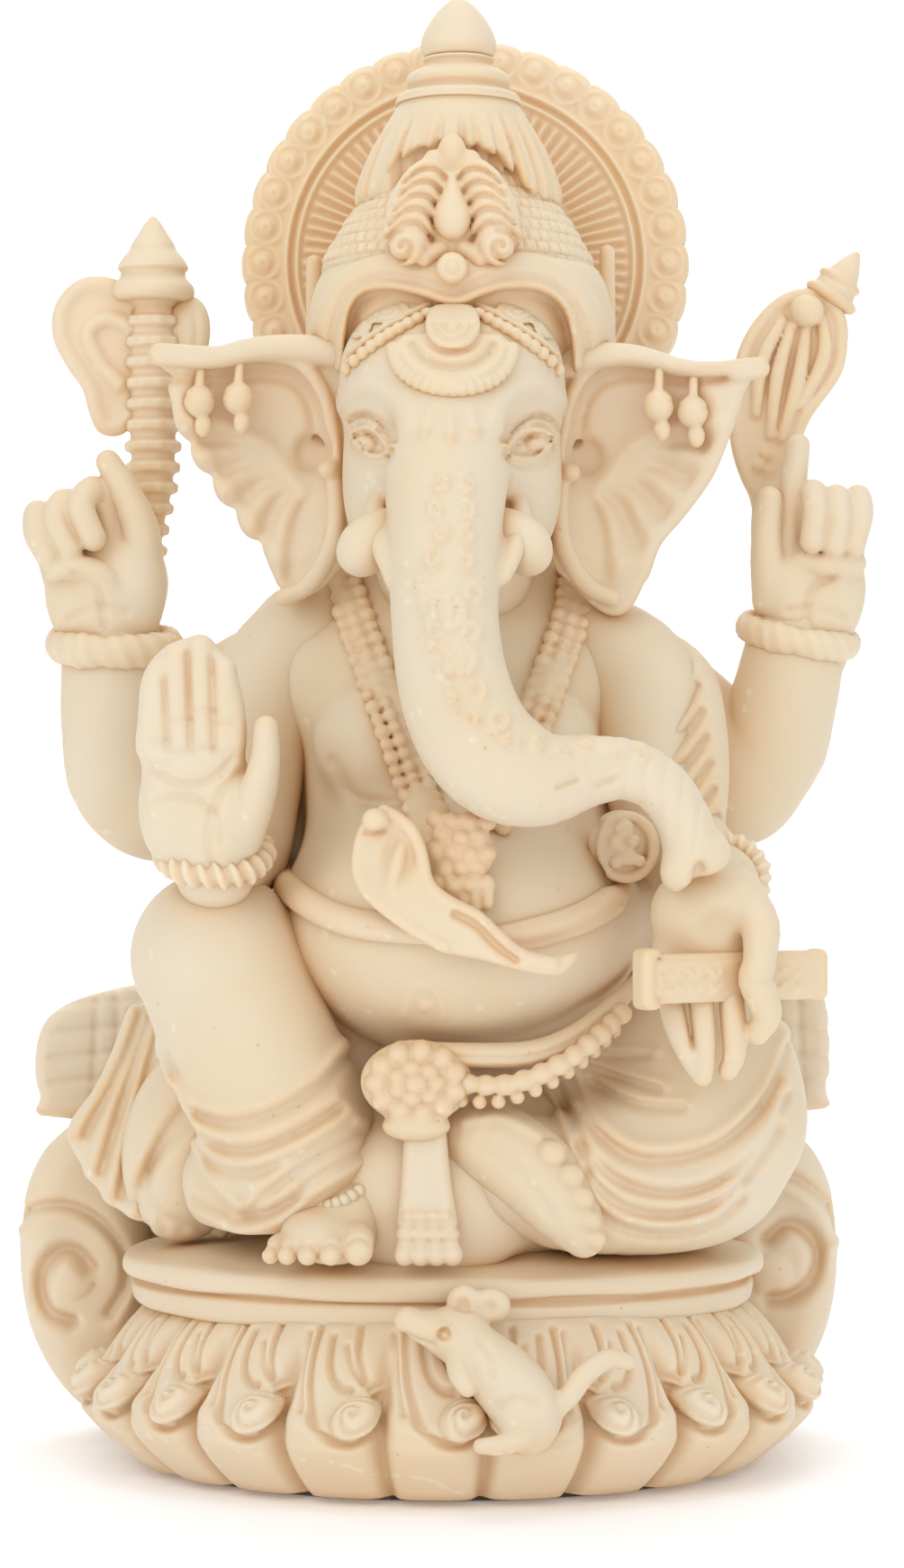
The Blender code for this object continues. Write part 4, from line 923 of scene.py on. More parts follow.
def crest():
    """The plume in front of the dome: ribbed volutes beside a drop, a fleuron on top and a boss below."""
    clay = Clay()
    middle = 0.6
    clay.add(ball((middle, -20.8, 167.6), (5.2, 2.4, 7.0)))
    for side in (-1, 1):
        volute = [(middle + side * 1.6, -19.8, 174.6, 2.0), (middle + side * 3.6, -21.0, 172.2, 2.9),
                  (middle + side * 5.2, -22.0, 168.8, 3.3), (middle + side * 5.9, -22.6, 165.2, 3.2)]
        clay.add(limb(volute), 0.5)
        for k in range(6):
            z = 173.4 - 1.85 * k
            x = middle + side * (2.6 + 0.62 * k)
            rib = curve([(x - side * 2.4, z - 1.3), (x - side * 0.6, z + 0.35), (x + side * 1.6, z + 0.2),
                         (x + side * 3.6, z - 1.5)], 5)
            clay.mark(stroke(rib, 0.36, -0.7, y=(-99, -15)), stroke(rib + (0, 0.8), 0.4, 0.3, y=(-99, -15)))
        clay.add(ball((middle + side * 6.3, -24.4, 163.4), (2.7, 1.9, 2.5)), 0.6)
        clay.mark(stroke(spiral((middle + side * 6.4, 163.2), 2.3, 1.2, 96, -side, 0.12), 0.42, -0.95,
                         y=(-99, -22.6)))
        clay.add(limb([(middle + side * 1.6, -22.6, 163.4, 1.2), (middle + side * 3.6, -23.6, 162.0, 1.1)]),
                 0.6)
        clay.add(ball((middle + side * 2.2, -20.4, 175.0), (1.5, 1.5, 1.9), (0, side * 24, 0)), 0.4)
    clay.add(ball((middle, -20.6, 176.4), (1.9, 1.6, 2.5)), 0.4)
    clay.cut(ball((middle, -27.0, 168.2), (3.1, 2.8, 5.4)), 0.6)
    clay.add(ball((middle, -23.4, 167.4), (2.5, 2.0, 3.0)), 0.15)
    clay.add(limb([(middle, -23.4, 169.4, 1.7), (middle, -22.8, 171.6, 0.9), (middle, -22.2, 173.0, 0.5)]),
             0.6)
    clay.cut(ball((middle, -27.2, 163.6), (2.0, 3.2, 0.9)), 0.5)
    clay.add(ball((middle, -25.4, 160.5), (2.05, 1.8, 2.1)), 0.3)
    clay.mark(stroke(arc((middle, 160.5), 1.15, 0, 360), 0.32, -0.25, y=(-99, -26)))
    model("crown_crest_visual", clay, ["crown_crest"], ORNAMENT, cell=0.7,
          extent=((-13, -31, 156), (14, -14, 183)))


# ---------------------------------------------------------------- head

TRUNK = [(0.4, -24, 143, 8.6), (0.0, -30, 135, 8.2), (-0.3, -34, 127, 7.5), (-0.4, -38, 119, 7.0),
         (-0.2, -41, 112.5, 6.8), (0.8, -43.5, 105.5, 7.0), (3.2, -44.6, 99.2, 7.2), (7.0, -45, 95.2, 7.0),
         (11.7, -44.8, 93.6, 5.9), (17.0, -44, 94.5, 4.6), (22.4, -43, 94.9, 3.9), (27.0, -42, 92.6, 3.6),
         (29.8, -41, 88.6, 3.5), (31.0, -40.4, 84.6, 3.6)]


def head():
    clay = Clay()
    clay.add(ball((0.6, -12.0, 141.5), (14.4, 16.6, 18.0)))
    for side in (-1, 1):
        clay.add(ball((0.6 + side * 6.6, -17.0, 148.0), (8.0, 10.0, 8.4)), 4)
        clay.add(ball((0.6 + side * 8.4, -17.0, 131.0), (5.8, 8.4, 9.0)), 5)
    clay.add(ball((1.0, -8, 122), (10.5, 10, 10)), 5)
    clay.add(limb(TRUNK, steps=3), 4.5)
    for side in (-1, 1):
        middle = 0.1
        lip = [(middle + side * 8.2, -22.0, 131.6, 0.8), (middle + side * 9.4, -27.6, 129.4, 1.1),
               (middle + side * 9.5, -31.6, 126.8, 1.3), (middle + side * 9.0, -34.6, 124.4, 1.3),
               (middle + side * 8.2, -37.0, 121.8, 1.1), (middle + side * 7.2, -38.8, 119.2, 0.8)]
        clay.add(limb(lip), 1.6)
    eyes = ((-10.1, 137.5, -1, [(-7.6, 136.5), (-9.0, 138.5), (-10.4, 139.6), (-11.8, 139.5), (-12.6, 138.8)],
             [(-7.6, 136.5), (-9.0, 135.9), (-10.5, 136.3), (-11.9, 137.6), (-12.6, 138.8)],
             [(-7.0, 137.2), (-7.9, 139.0), (-9.6, 140.9), (-11.4, 141.5), (-13.0, 141.0)]),
            (11.1, 137.3, 1, [(7.6, 136.3), (9.2, 138.3), (11.0, 139.3), (12.7, 139.3), (14.0, 138.4)],
             [(7.6, 136.3), (9.2, 135.6), (11.0, 135.6), (12.7, 136.4), (14.0, 138.4)],
             [(7.3, 137.2), (8.4, 139.0), (10.1, 140.6), (11.9, 141.4), (13.6, 141.1), (14.6, 140.2)]))
    for x, z, side, upper, lower, crease in eyes:
        clay.cut(ball((x - side * 0.4, -30.6, z), (4.4, 4.8, 3.2), (0, side * 22, 0)), 2.0)
        clay.add(ball((x, -22.3, z + 0.1), (3.1, 3.3, 1.9), (0, side * -26, side * -14)), 0.6)
        upper, lower, crease = curve(upper, 6), curve(lower, 6), curve(crease, 6)
        clay.mark(stroke(upper, 0.42, 0.75, y=(-99, -14)), stroke(lower, 0.4, 0.4, y=(-99, -14)),
                  stroke(upper + (0, -0.75), 0.3, -0.5, y=(-99, -14)),
                  stroke(lower + (0, 0.65), 0.28, -0.35, y=(-99, -14)),
                  stroke(crease, 0.34, -0.55, y=(-99, -14)),
                  stroke(crease + (0, -0.7), 0.4, 0.4, y=(-99, -14)),
                  stroke(crease + (0, 0.8), 0.6, 0.35, y=(-99, -14)),
                  stroke(arc((x + side * 0.1, z + 0.1), 1.05, 0, 360), 0.26, -0.35, y=(-99, -14)),
                  stroke(lower + (0, -1.0), 0.5, -0.25, y=(-99, -14)))
        brow = curve([(x - side * 4.6, 139.6), (x - side * 2.8, 143.2), (x + side * 1.2, 145.2),
                      (x + side * 4.2, 143.6)], 6)
        clay.mark(stroke(brow, 1.7, 0.8, y=(-99, -10)))
    petals = [(-2.6, 139.4, -14), (0.4, 138.6, 0), (3.4, 139.4, 14)]
    for x, z, lean in petals:
        out = math.radians(lean)
        clay.mark(stroke([(x - 1.5 * math.sin(out), z + 1.5), (x + 1.2 * math.sin(out), z - 1.2)], 0.75,
                         0.45, y=(-99, -20)),
                  dots([(x + 1.5 * math.sin(out), z - 1.5)], 0.85, 0.45, y=(-99, -20)))
    trunk_marks(clay)
    clay.add(ball((29.6, -41.4, 82.4), (2.6, 2.6, 3.2), (0, 24, 0)), 1.2)
    clay.add(ball((33.4, -40.6, 84.4), (2.5, 2.6, 2.6)), 1.2)
    clay.cut(ball((31.8, -43.6, 81.4), (1.0, 2.0, 2.0)), 0.5)
    clay.cut(ball((31.6, -41.0, 79.6), (2.2, 2.0, 1.8)), 0.6)
    model("head_visual", clay, ["head"], SKIN, cell=0.9, margin=4)
    return clay


def trunk_marks(clay):
    """Low curls and rosettes down the front of the trunk, and the folds where it bends."""
    front = (-99, -28)
    places = [(0.9, 131.0), (0.6, 127.6), (0.9, 124.4), (0.3, 121.0)]
    for k, (x, z) in enumerate(places):
        hand = 1 if k % 2 else -1
        clay.mark(stroke(spiral((x - 1.9, z), 1.25, 0.9, 90, hand, 0.3, 18), 0.42, 0.6, y=front),
                  stroke(spiral((x + 1.9, z), 1.25, 0.9, 90, -hand, 0.3, 18), 0.42, 0.6, y=front))
    rosettes = [(0.2, 114.6, 2.1), (1.8, 108.6, 1.9)]
    for x, z, radius in rosettes:
        clay.mark(stroke(arc((x, z), radius, 0, 360), 0.42, 0.6, y=front), dots([(x, z)], 0.9, 0.6, y=front))
        petals = arc((x, z), radius * 0.62, 0, 315, 8)
        clay.mark(dots(petals, 0.5, 0.4, y=front))
    rng = np.random.default_rng(11)
    for k in range(26):
        t = k / 25
        x = np.interp(t, (0, 0.35, 0.6, 0.8, 1), (-2.6, -2.0, 2.5, 9.0, 24.0)) + rng.uniform(-0.6, 0.6)
        z = np.interp(t, (0, 0.35, 0.6, 0.8, 1), (118.5, 109.0, 101.0, 97.6, 97.2)) + rng.uniform(-0.8, 0.8)
        turn = rng.uniform(0, 360)
        clay.mark(stroke(spiral((x, z), 0.95, 0.7, turn, 1 if k % 2 else -1, 0.3, 12), 0.4, 0.5, y=front))
    for x, z in ((3.2, 112.0), (3.6, 117.0), (3.9, 104.6), (6.6, 101.0)):
        clay.mark(stroke(arc((x, z), 1.0, -60, 200, 12), 0.42, 0.5, y=front))
    for k in range(6):
        x = 20.5 + 2.2 * k
        z = 95.4 - 0.32 * k * k
        clay.mark(stroke([(x - 0.7, z - 3.6), (x + 0.5, z + 3.6)], 0.4, -0.2, y=front))
    for x, z in ((13.6, 92.6), (18.8, 93.0)):
        clay.mark(stroke([(x, z), (x + 2.4, z + 0.9)], 0.4, -0.6, y=front))


def ears():
    """Fans with a heavy rolled edge above and beside the face, and folds that spread from the ear canal."""
    right_edge = [(-12.0, 151.6), (-19, 152.8), (-25.6, 152.6), (-31.0, 151.4), (-38.4, 151.8),
                  (-38.2, 148.6),
                  (-36.6, 143.2), (-34.4, 138.2), (-30.8, 132.6), (-27.6, 128.2), (-24.2, 123.8),
                  (-22.8, 120.2),
                  (-20.2, 118.0), (-16.6, 119.6), (-13.4, 124.0), (-11.5, 132.0)]
    left_edge = [(14.0, 150.4), (20.0, 151.8), (25.9, 151.4), (31.0, 149.8), (35.4, 149.4), (41.6, 150.0),
                 (40.6, 147.2), (39.0, 143.6), (37.6, 139.6), (35.4, 134.4), (31.8, 129.4), (28.6, 125.6),
                 (27.0, 121.4), (24.6, 116.6), (21.4, 115.8), (17.0, 119.6), (13.4, 126.0)]
    for name, edge, side, canal in (("right_ear", right_edge, -1, (-18.6, 138.4)),
                                    ("left_ear", left_edge, 1, (19.0, 138.0))):
        outline = curve(edge, 4, True)[:-1]

        def middle(x, z, side=side):
            out = np.clip((x * side - 12) / 26, 0, 1)
            bowl = np.clip(1 - ((x * side - 24) / 13) ** 2 - ((z - 138) / 15) ** 2, 0, 1)
            return -11.4 + 3.8 * bowl - 2.0 * out**2
        clay = Clay()
        clay.add(sheet(outline, middle, 1.5, 1.0))
        top = edge[0:5] if side < 0 else edge[0:6]
        lower = edge[6:12] if side < 0 else edge[7:13]
        rolled = [(x, float(middle(x, z)) - 1.6, z - 1.4, 2.0 - 0.1 * k) for k, (x, z) in enumerate(top)]
        clay.add(limb(rolled), 0.6)
        clay.add(limb([(x - side * 0.9, float(middle(x, z)) - 0.3, z, 1.0) for x, z in lower]), 0.8)
        roll = [(side * 24.6, 150.6), (side * 20.6, 150.0), (side * 18.2, 147.8), (side * 16.5, 144.6),
                (side * 15.6, 140.6),
                (side * 15.2, 134.0), (side * 15.0, 128.0), (side * 16.2, 123.4), (side * 18.8, 119.6),
                (side * 22.0, 118.0)]
        clay.add(limb([(x, float(middle(x, z)) - 2.1, z, 1.25) for x, z in roll]), 0.5)
        under = curve([(side * 17.6, 139.0), (side * 18.2, 143.6), (side * 20.4, 147.0),
                       (side * 25.0, 148.2), (side * 32.0, 147.2),
                       (side * 37.0, 147.6)], 6)
        clay.mark(stroke(under, 1.0, -1.1, y=(-99, -6)))
        ends = [(side * 35.4, 141.4), (side * 33.0, 136.8), (side * 30.0, 132.2), (side * 26.6, 127.6),
                (side * 22.4, 123.0)]
        for k, (x, z) in enumerate(ends):
            start = (canal[0] + (x - canal[0]) * 0.36, canal[1] + (z - canal[1]) * 0.36 - 0.4)
            mid = (canal[0] + (x - canal[0]) * 0.66 + side * 0.5, canal[1] + (z - canal[1]) * 0.66 + 1.0)
            clay.mark(stroke(curve([start, mid, (x, z)], 6), 1.35, 0.85, y=(-99, -4)),
                      stroke(curve([(start[0] - side * 0.6, start[1] - 1.8),
                                    (mid[0] - side * 0.9, mid[1] - 2.3),
                                    (x - side * 1.2, z - 2.3)], 6), 1.0, -0.6, y=(-99, -4)))
        clay.cut(ball((canal[0] - side * 0.2, -12.7, canal[1] - 0.6), (2.9, 5.6, 3.3)), 1.2)
        clay.add(ball((canal[0] - side * 2.6, -12.4, canal[1] - 3.2), (1.5, 1.5, 1.4)), 0.6)
        clay.add(ball((canal[0] + side * 1.0, -6.6, canal[1] - 2.4), (5.0, 1.6, 5.0)), 0.8)
        model(name + "_visual", clay, [name], SKIN, margin=4)


def tusks_and_pendants():
    for name, stations in (("right_tusk", [(-6.2, -28, 126.6, 2.6), (-8.4, -31.2, 125.2, 3.3),
                                           (-10.2, -32.6, 123.8, 3.6),
                                           (-11.0, -33.2, 122.9, 3.3)]),
                           ("left_tusk", [(5.8, -28, 126.6, 2.6), (8.2, -31.2, 125.2, 3.3),
                                          (9.8, -32.6, 123.8, 3.5),
                                          (10.4, -33.2, 122.9, 3.2)])):
        model(name + "_visual", Clay().add(limb(stations)), [name], SKIN, cell=0.85, margin=4)
    hung = {"right_outer_pendant": (-33.2, 144.2), "right_inner_pendant": (-28.0, 144.6),
            "left_inner_pendant": (28.2, 143.6), "left_outer_pendant": (32.8, 142.8)}
    for name, (x, z) in hung.items():
        y = -14.4
        clay = Clay()
        clay.add(ball((x, y, z), (2.1, 2.0, 2.2)))
        clay.add(limb([(x + 0.2, y + 0.6, z + 5.0, 0.6), (x, y - 0.2, z + 1.8, 0.65)]), 0.3)
        clay.add(ball((x + 0.5, y, z - 3.2), (1.15, 1.1, 1.6)), 0.3)
        clay.mark(stroke([(x - 3, z + 0.7), (x + 3, z + 0.4)], 0.22, -0.18))
        model(name + "_visual", clay, [name], ORNAMENT, cell=0.65,
              extent=((x - 4, y - 4, z - 7), (x + 4, y + 5, z + 8)))


def forehead_jewel(face):
    """A plaque over a fringed crescent on the brow, with a cord, beads and swirls to each side."""
    front = front_map(face, (-16, 138), (17, 160))
    view = (-99, -12)
    middle = 0.7
    clay = Clay()
    crescent = np.concatenate([arc((middle, 150.0), 8.0, 180, 360, 28, 0.84),
                               [(middle + 6.2, 151.6), (middle - 6.2, 151.6)]])
    clay.add(sheet(crescent, lambda x, z: front(x, z) - 0.3, 1.0, 0.6))
    for angle in np.radians(np.arange(184, 357, 8.6)):
        x, z = middle + 7.8 * math.cos(angle), 150.0 + 6.5 * math.sin(angle)
        clay.add(ball((x, float(front(np.array([x]), np.array([z]))[0]) - 0.5, z), (0.9, 0.9, 1.0)), 0.3)
    clay.mark(stroke(arc((middle, 150.6), 5.4, 188, 352, 24, 0.76), 0.5, -0.75, y=view),
              stroke(arc((middle, 150.3), 6.7, 188, 352, 24, 0.8), 0.4, 0.35, y=view),
              stroke(arc((middle, 150.8), 4.2, 190, 350, 20, 0.7), 0.45, 0.4, y=view))
    plaque = curve([(middle - 2.2, 155.8), (middle + 2.2, 155.8), (middle + 3.5, 153.6),
                    (middle + 3.3, 151.2),
                    (middle + 1.7, 149.3), (middle - 1.7, 149.3), (middle - 3.3, 151.2),
                    (middle - 3.5, 153.6)], 3, True)[:-1]
    clay.add(sheet(plaque, lambda x, z: front(x, z) - 1.5, 1.3, 0.7), 0.3)
    for radius in (1.2, 2.4):
        clay.mark(stroke(arc((middle, 152.8), radius, 185, 355, 18), 0.42, -0.7, y=view))
    for side in (-1, 1):
        cord = [(middle + side * 3.0, 156.2), (middle + side * 5.0, 155.0), (middle + side * 8.4, 153.0),
                (middle + side * 11.6, 151.0),
                (middle + side * 13.6, 149.6)]
        clay.add(limb(laid(face, cord, 0.55, 0.3)), 0.2)
        beads = [(middle + side * 3.4, 154.6), (middle + side * 5.4, 153.4), (middle + side * 8.8, 151.4),
                 (middle + side * 11.8, 149.4),
                 (middle + side * 13.9, 147.6)]
        for x, y, z in drape(face, spaced(curve(beads, 6), 1.35), 0.45):
            clay.add(ball((x, y, z), (0.9, 0.95, 0.9)), 0.25)
        swirl = (middle + side * 8.7, 155.3)
        clay.add(sheet(arc(swirl, 3.1, 0, 340, 20, 0.66), lambda x, z: front(x, z) - 0.3, 1.0, 0.8), 0.4)
        for radius in (0.8, 2.0):
            clay.mark(stroke(arc(swirl, radius, 0, 360, 20, 0.66), 0.36, -0.6, y=view))
        far = (middle + side * 12.4, 153.4)
        clay.add(sheet(arc(far, 1.9, 0, 330, 14), lambda x, z: front(x, z) - 0.2, 1.0, 0.7), 0.4)
        clay.mark(stroke(spiral(far, 1.6, 1.0, 90, side, 0.1), 0.32, -0.45, y=view))
    model("forehead_jewel_visual", clay, ["forehead_jewel"], ORNAMENT, cell=0.65,
          extent=((-17, -36, 139), (19, -12, 162)))


# ---------------------------------------------------------------- body

def torso():
    clay = Clay()
    clay.add(ball((1.6, -12.5, 74.5), (24.8, 25.5, 18.0)))
    clay.add(ball((1.4, -4.0, 94.0), (21.0, 16.0, 22.0)), 7)
    clay.add(ball((1.0, -2.0, 108.0), (25.5, 13.5, 12.5)), 7)
    for side in (-1, 1):
        clay.add(ball((1.0 + side * 20.0, -1.5, 108.5), (9.0, 9.5, 9.0)), 5)
        clay.add(ball((1.0 + side * 11.0, -15.4, 98.6), (7.8, 8.2, 8.0)), 3.2)
    clay.add(ball((1.0, 1.0, 119.0), (17.0, 11.0, 10.0)), 4)
    clay.add(ball((1.0, 4.0, 90.0), (31.0, 8.0, 24.0)), 4)
    clay.add(ball((24.0, 0.0, 76.0), (12.0, 10.0, 18.0)), 4)
    clay.add(ball((0, 6, 56), (24, 16, 14)), 5)
    navel = curve([(-5.6, 63.0), (-4.6, 66.2), (-3.0, 67.2), (-1.2, 66.2), (-0.4, 63.0)], 6)
    clay.cut(ball((-3.0, -38.6, 64.6), (1.7, 2.6, 1.7)), 0.8)
    clay.mark(stroke(navel, 0.5, 0.45, y=(-99, -28)), dots([(-3.0, 64.2)], 0.8, 0.6, y=(-99, -28)))
    for fold, width, depth in ((((-15.0, 96.0), (-12.0, 91.2), (-6.0, 90.4), (-1.0, 92.4)), 0.9, -0.7),
                               (((17.0, 96.0), (14.0, 91.4), (8.0, 90.6), (3.0, 92.4)), 0.9, -0.7),
                               (((-22.0, 78.0), (-14.0, 84.6), (-4.0, 86.6)), 2.2, -0.5),
                               (((8.0, 60.0), (13.6, 61.6), (18.4, 64.4)), 0.6, -0.35),
                               (((10.0, 57.8), (15.4, 60.0), (20.0, 63.0)), 0.6, -0.3)):
        clay.mark(stroke(curve(fold, 6), width, depth, y=(-99, -10)))
    clay.mark(stroke([(1, 118), (1, 74)], 2.0, -0.8, y=(6, 99)),
              stroke(curve([(-18, 104), (-10, 98), (-7, 90)], 6), 2.0, 0.7, y=(4, 99)),
              stroke(curve([(20, 104), (12, 98), (9, 90)], 6), 2.0, 0.7, y=(4, 99)))
    model("torso_visual", clay, ["torso"], SKIN, cell=1.1, extent=((-36, -42, 40), (38, 26, 134)))
    return clay


def rear_arms():
    right = Clay().add(limb([(-18, 6, 110, 8.0), (-29.0, 7, 105, 8.2), (-38.5, 5, 94.6, 8.2),
                             (-44.2, 3, 93.4, 8.0),
                             (-45.8, 1, 101, 7.5), (-46.0, 0, 108.5, 7.2), (-46.2, 0, 112, 6.9)]))
    right.add(ball((-39.6, 4.5, 89.6), (9.0, 8.0, 7.4)), 3)
    model("rear_right_arm_visual", right, ["rear_right_arm"], SKIN, cell=1.1, margin=4)
    left = Clay().add(limb([(20, 6, 110, 8.0), (30, 7, 104, 8.4), (38.6, 5, 97.0, 8.4), (44.0, 3, 97.6, 8.0),
                            (46.2, 1, 104, 7.4), (47.4, 0, 109.5, 7.0), (48.0, 0, 112.6, 6.7)]))
    left.add(ball((40.2, 4.5, 92.0), (8.2, 7.6, 7.6)), 3)
    model("rear_left_arm_visual", left, ["rear_left_arm"], SKIN, cell=1.1, margin=4)


def front_arms():
    right = Clay().add(limb([(-19, -3, 112.5, 8.2), (-24.8, -4, 105.5, 7.8), (-26.8, -5, 93, 7.0),
                             (-27.8, -10, 84.5, 6.6),
                             (-29.4, -20, 82.5, 6.2), (-30.2, -28.0, 84.4, 5.8)]))
    right.mark(stroke([(-32, -14, 88), (-26, -14, 90)], 0.8, -0.3, "solid"))
    model("front_right_arm_visual", right, ["front_right_arm"], SKIN, margin=4)
    left = Clay().add(limb([(19.5, -4, 111.6, 8.0), (25.8, -6.5, 107.0, 8.0), (27.4, -8.5, 97, 7.4),
                            (30.2, -12, 86.5, 6.8),
                            (34.6, -19, 81.0, 5.8), (35.6, -25.5, 79.6, 5.4)]))
    model("front_left_arm_visual", left, ["front_left_arm"], SKIN, margin=4)


def build_hand(name, palm, fingers, wrist, marks, hollows=(), extra=None):
    clay = Clay()
    for k, part in enumerate(palm):
        clay.add(ball(*part), 1.6 if k else 0)
    clay.add(limb(wrist), 2.0)
    for hollow in hollows:
        clay.cut(ball(*hollow), 1.6)
    if extra:
        clay.add(extra, 1.0)
    for finger in fingers:
        clay.add(limb(finger), 0.5)
    clay.mark(*marks)
    model(name + "_visual", clay, [name], SKIN, cell=0.8, margin=3.5)


def hands():
    tips = [(-37.5, 105.4, -34.0), (-34.9, 109.2, -34.4), (-31.7, 110.4, -34.6), (-28.7, 107.6, -34.2)]
    mitt = curve([(-39.4, 96.0), (-39.7, 101.8), (-39.2, 106.6), (-37.4, 109.6), (-34.7, 111.4),
                  (-31.4, 112.0), (-29.2, 110.4),
                  (-27.2, 107.0), (-26.0, 102.4), (-26.4, 96.6), (-32.0, 94.0)], 4, True)[:-1]
    fingers = []
    for (x, z, y), base, wide in zip(tips, (-37.2, -34.2, -31.0, -28.0), (2.05, 2.2, 2.25, 2.1)):
        fingers.append([(base, -32.6, 94, wide), (base + (x - base) * 0.5, y + 0.6, (94 + z) / 2, wide),
                        (x, y, z, wide * 0.80)])
    fingers.append([(-27.0, -32.6, 86.5, 3.4), (-24.8, -34.2, 91.0, 2.7), (-23.4, -35.2, 95.6, 2.0),
                    (-23.2, -35.4, 100.2, 1.6)])
    crease = [stroke(curve([(-38.0, 95.0), (-34.0, 93.0), (-30.0, 93.8), (-27.6, 96.2)], 6), 0.5, -0.45,
                     y=(-99, -30)),
              stroke(curve([(-37.4, 91.0), (-33.4, 91.4), (-30.0, 89.6), (-28.8, 86.0)], 6), 0.5, -0.4,
                     y=(-99, -30)),
              stroke(curve([(-26.6, 94.6), (-29.6, 91.0), (-30.6, 86.0), (-30.0, 82.6)], 6), 0.55, -0.5,
                     y=(-99, -30))]
    for x, z0, z1 in ((-35.9, 97.6, 106.6), (-32.9, 97.8, 109.8), (-29.9, 97.6, 109.0)):
        crease.append(stroke([(x, z0), (x - 0.3, z1)], 0.42, -0.5, y=(-99, -30)))
    for x, z in ((-36.7, 98.6), (-34.1, 101.4), (-31.2, 102.4), (-28.3, 100.8), (-36.8, 95.8),
                 (-34.1, 97.2), (-31.2, 97.6),
                 (-28.4, 97.0)):
        crease.append(stroke([(x - 1.3, z), (x + 1.3, z)], 0.32, -0.28, y=(-99, -30)))
    build_hand("front_right_hand", [
        ((-32.0, -31.4, 91.0), (7.4, 3.9, 8.4)), ((-28.4, -33.4, 88.0), (4.0, 3.2, 6.0), (0, 14, 0)),
        ((-36.4, -32.6, 89.6), (3.2, 2.8, 6.6)), ((-32.6, -33.0, 95.0), (6.0, 2.6, 3.0)),
    ], fingers, [(-31.0, -31, 86.0, 5.6), (-30.2, -28, 81.5, 5.2)], crease,
    extra=sheet(mitt, lambda x, z: -33.6 + 0 * x, 1.9, 1.6))

    fingers = [
        [(37.0, -34.4, 79.4, 3.2), (39.8, -37.4, 75.0, 2.6), (39.6, -39.6, 70.6, 2.1),
         (39.2, -40.0, 68.0, 2.3),
         (40.6, -39.0, 63.8, 1.9), (39.4, -38.0, 61.2, 1.5)],
        [(28.2, -35.0, 71.0, 1.9), (28.9, -37.0, 63.8, 1.75), (30.4, -37.6, 59.4, 1.55),
         (31.8, -37.4, 56.4, 1.2)],
        [(31.6, -35.2, 71.0, 1.9), (32.4, -37.6, 63.4, 1.8), (32.8, -38.0, 58.8, 1.6),
         (32.5, -37.6, 55.6, 1.2)],
        [(35.4, -35.0, 71.0, 1.9), (36.3, -37.2, 63.4, 1.8), (36.5, -37.8, 59.0, 1.6),
         (35.8, -37.4, 56.4, 1.25)],
    ]
    crease = [stroke([(30.4, 66.4), (31.2, 59.6)], 0.4, -0.5, y=(-99, -30)),
              stroke([(34.4, 67.0), (34.6, 58.0)], 0.4, -0.5, y=(-99, -30)),
              stroke([(38.0, 67.9), (41.2, 68.3)], 0.3, -0.3, y=(-99, -36))]
    build_hand("front_left_hand", [
        ((32.8, -34.0, 76.4), (6.8, 4.6, 6.2), (0, 0, 8)), ((32.4, -34.0, 71.0), (6.2, 3.6, 5.0)),
        ((35.4, -34.6, 78.2), (5.4, 4.4, 4.4)),
    ], fingers, [(34.6, -31, 78.6, 5.0), (35.6, -23, 80.0, 5.2)], crease,
        hollows=[((34.4, -40.4, 74.6), (2.4, 2.6, 2.6))])

    fingers = [
        [(-42.0, -1.8, 121.0, 3.2), (-42.0, -3.2, 127.6, 2.6), (-44.2, -4.0, 133.2, 2.1),
         (-46.4, -4.0, 137.0, 1.7)],
        [(-46.2, -1.0, 126.6, 2.5), (-48.0, -3.0, 133.0, 2.1), (-50.0, -5.6, 130.8, 2.0),
         (-48.2, -6.2, 126.4, 1.8)],
        [(-49.6, -1.0, 125.4, 2.5), (-52.0, -3.0, 131.4, 2.1), (-53.4, -5.4, 128.8, 1.9),
         (-51.4, -6.0, 124.8, 1.7)],
        [(-53.2, -0.8, 122.0, 2.7), (-55.8, -2.4, 129.8, 2.1), (-56.0, -4.8, 127.2, 1.9),
         (-54.4, -5.6, 123.8, 1.6)],
        [(-45.2, -3.6, 117.6, 3.2), (-47.6, -5.2, 121.2, 2.3), (-51.0, -5.8, 122.4, 1.8),
         (-53.4, -5.6, 121.8, 1.4)],
    ]
    fold = [stroke(curve([(-50.6, 121.6), (-47.6, 119.4), (-46.6, 114.6)], 5), 0.6, -0.6, y=(-99, -2)),
            stroke(curve([(-51.6, 115.6), (-47.6, 117.2), (-43.6, 116.4)], 5), 0.5, -0.4, y=(-99, -2))]
    build_hand("rear_right_hand", [
        ((-46.9, -0.6, 120.8), (8.4, 4.8, 8.0)), ((-42.8, -3.0, 119.6), (4.2, 3.4, 6.6)),
        ((-51.2, -2.4, 118.6), (3.8, 3.2, 6.0)),
    ], fingers, [(-46.6, -0.4, 115.6, 6.6), (-46.2, 0, 111.0, 6.2)], fold)

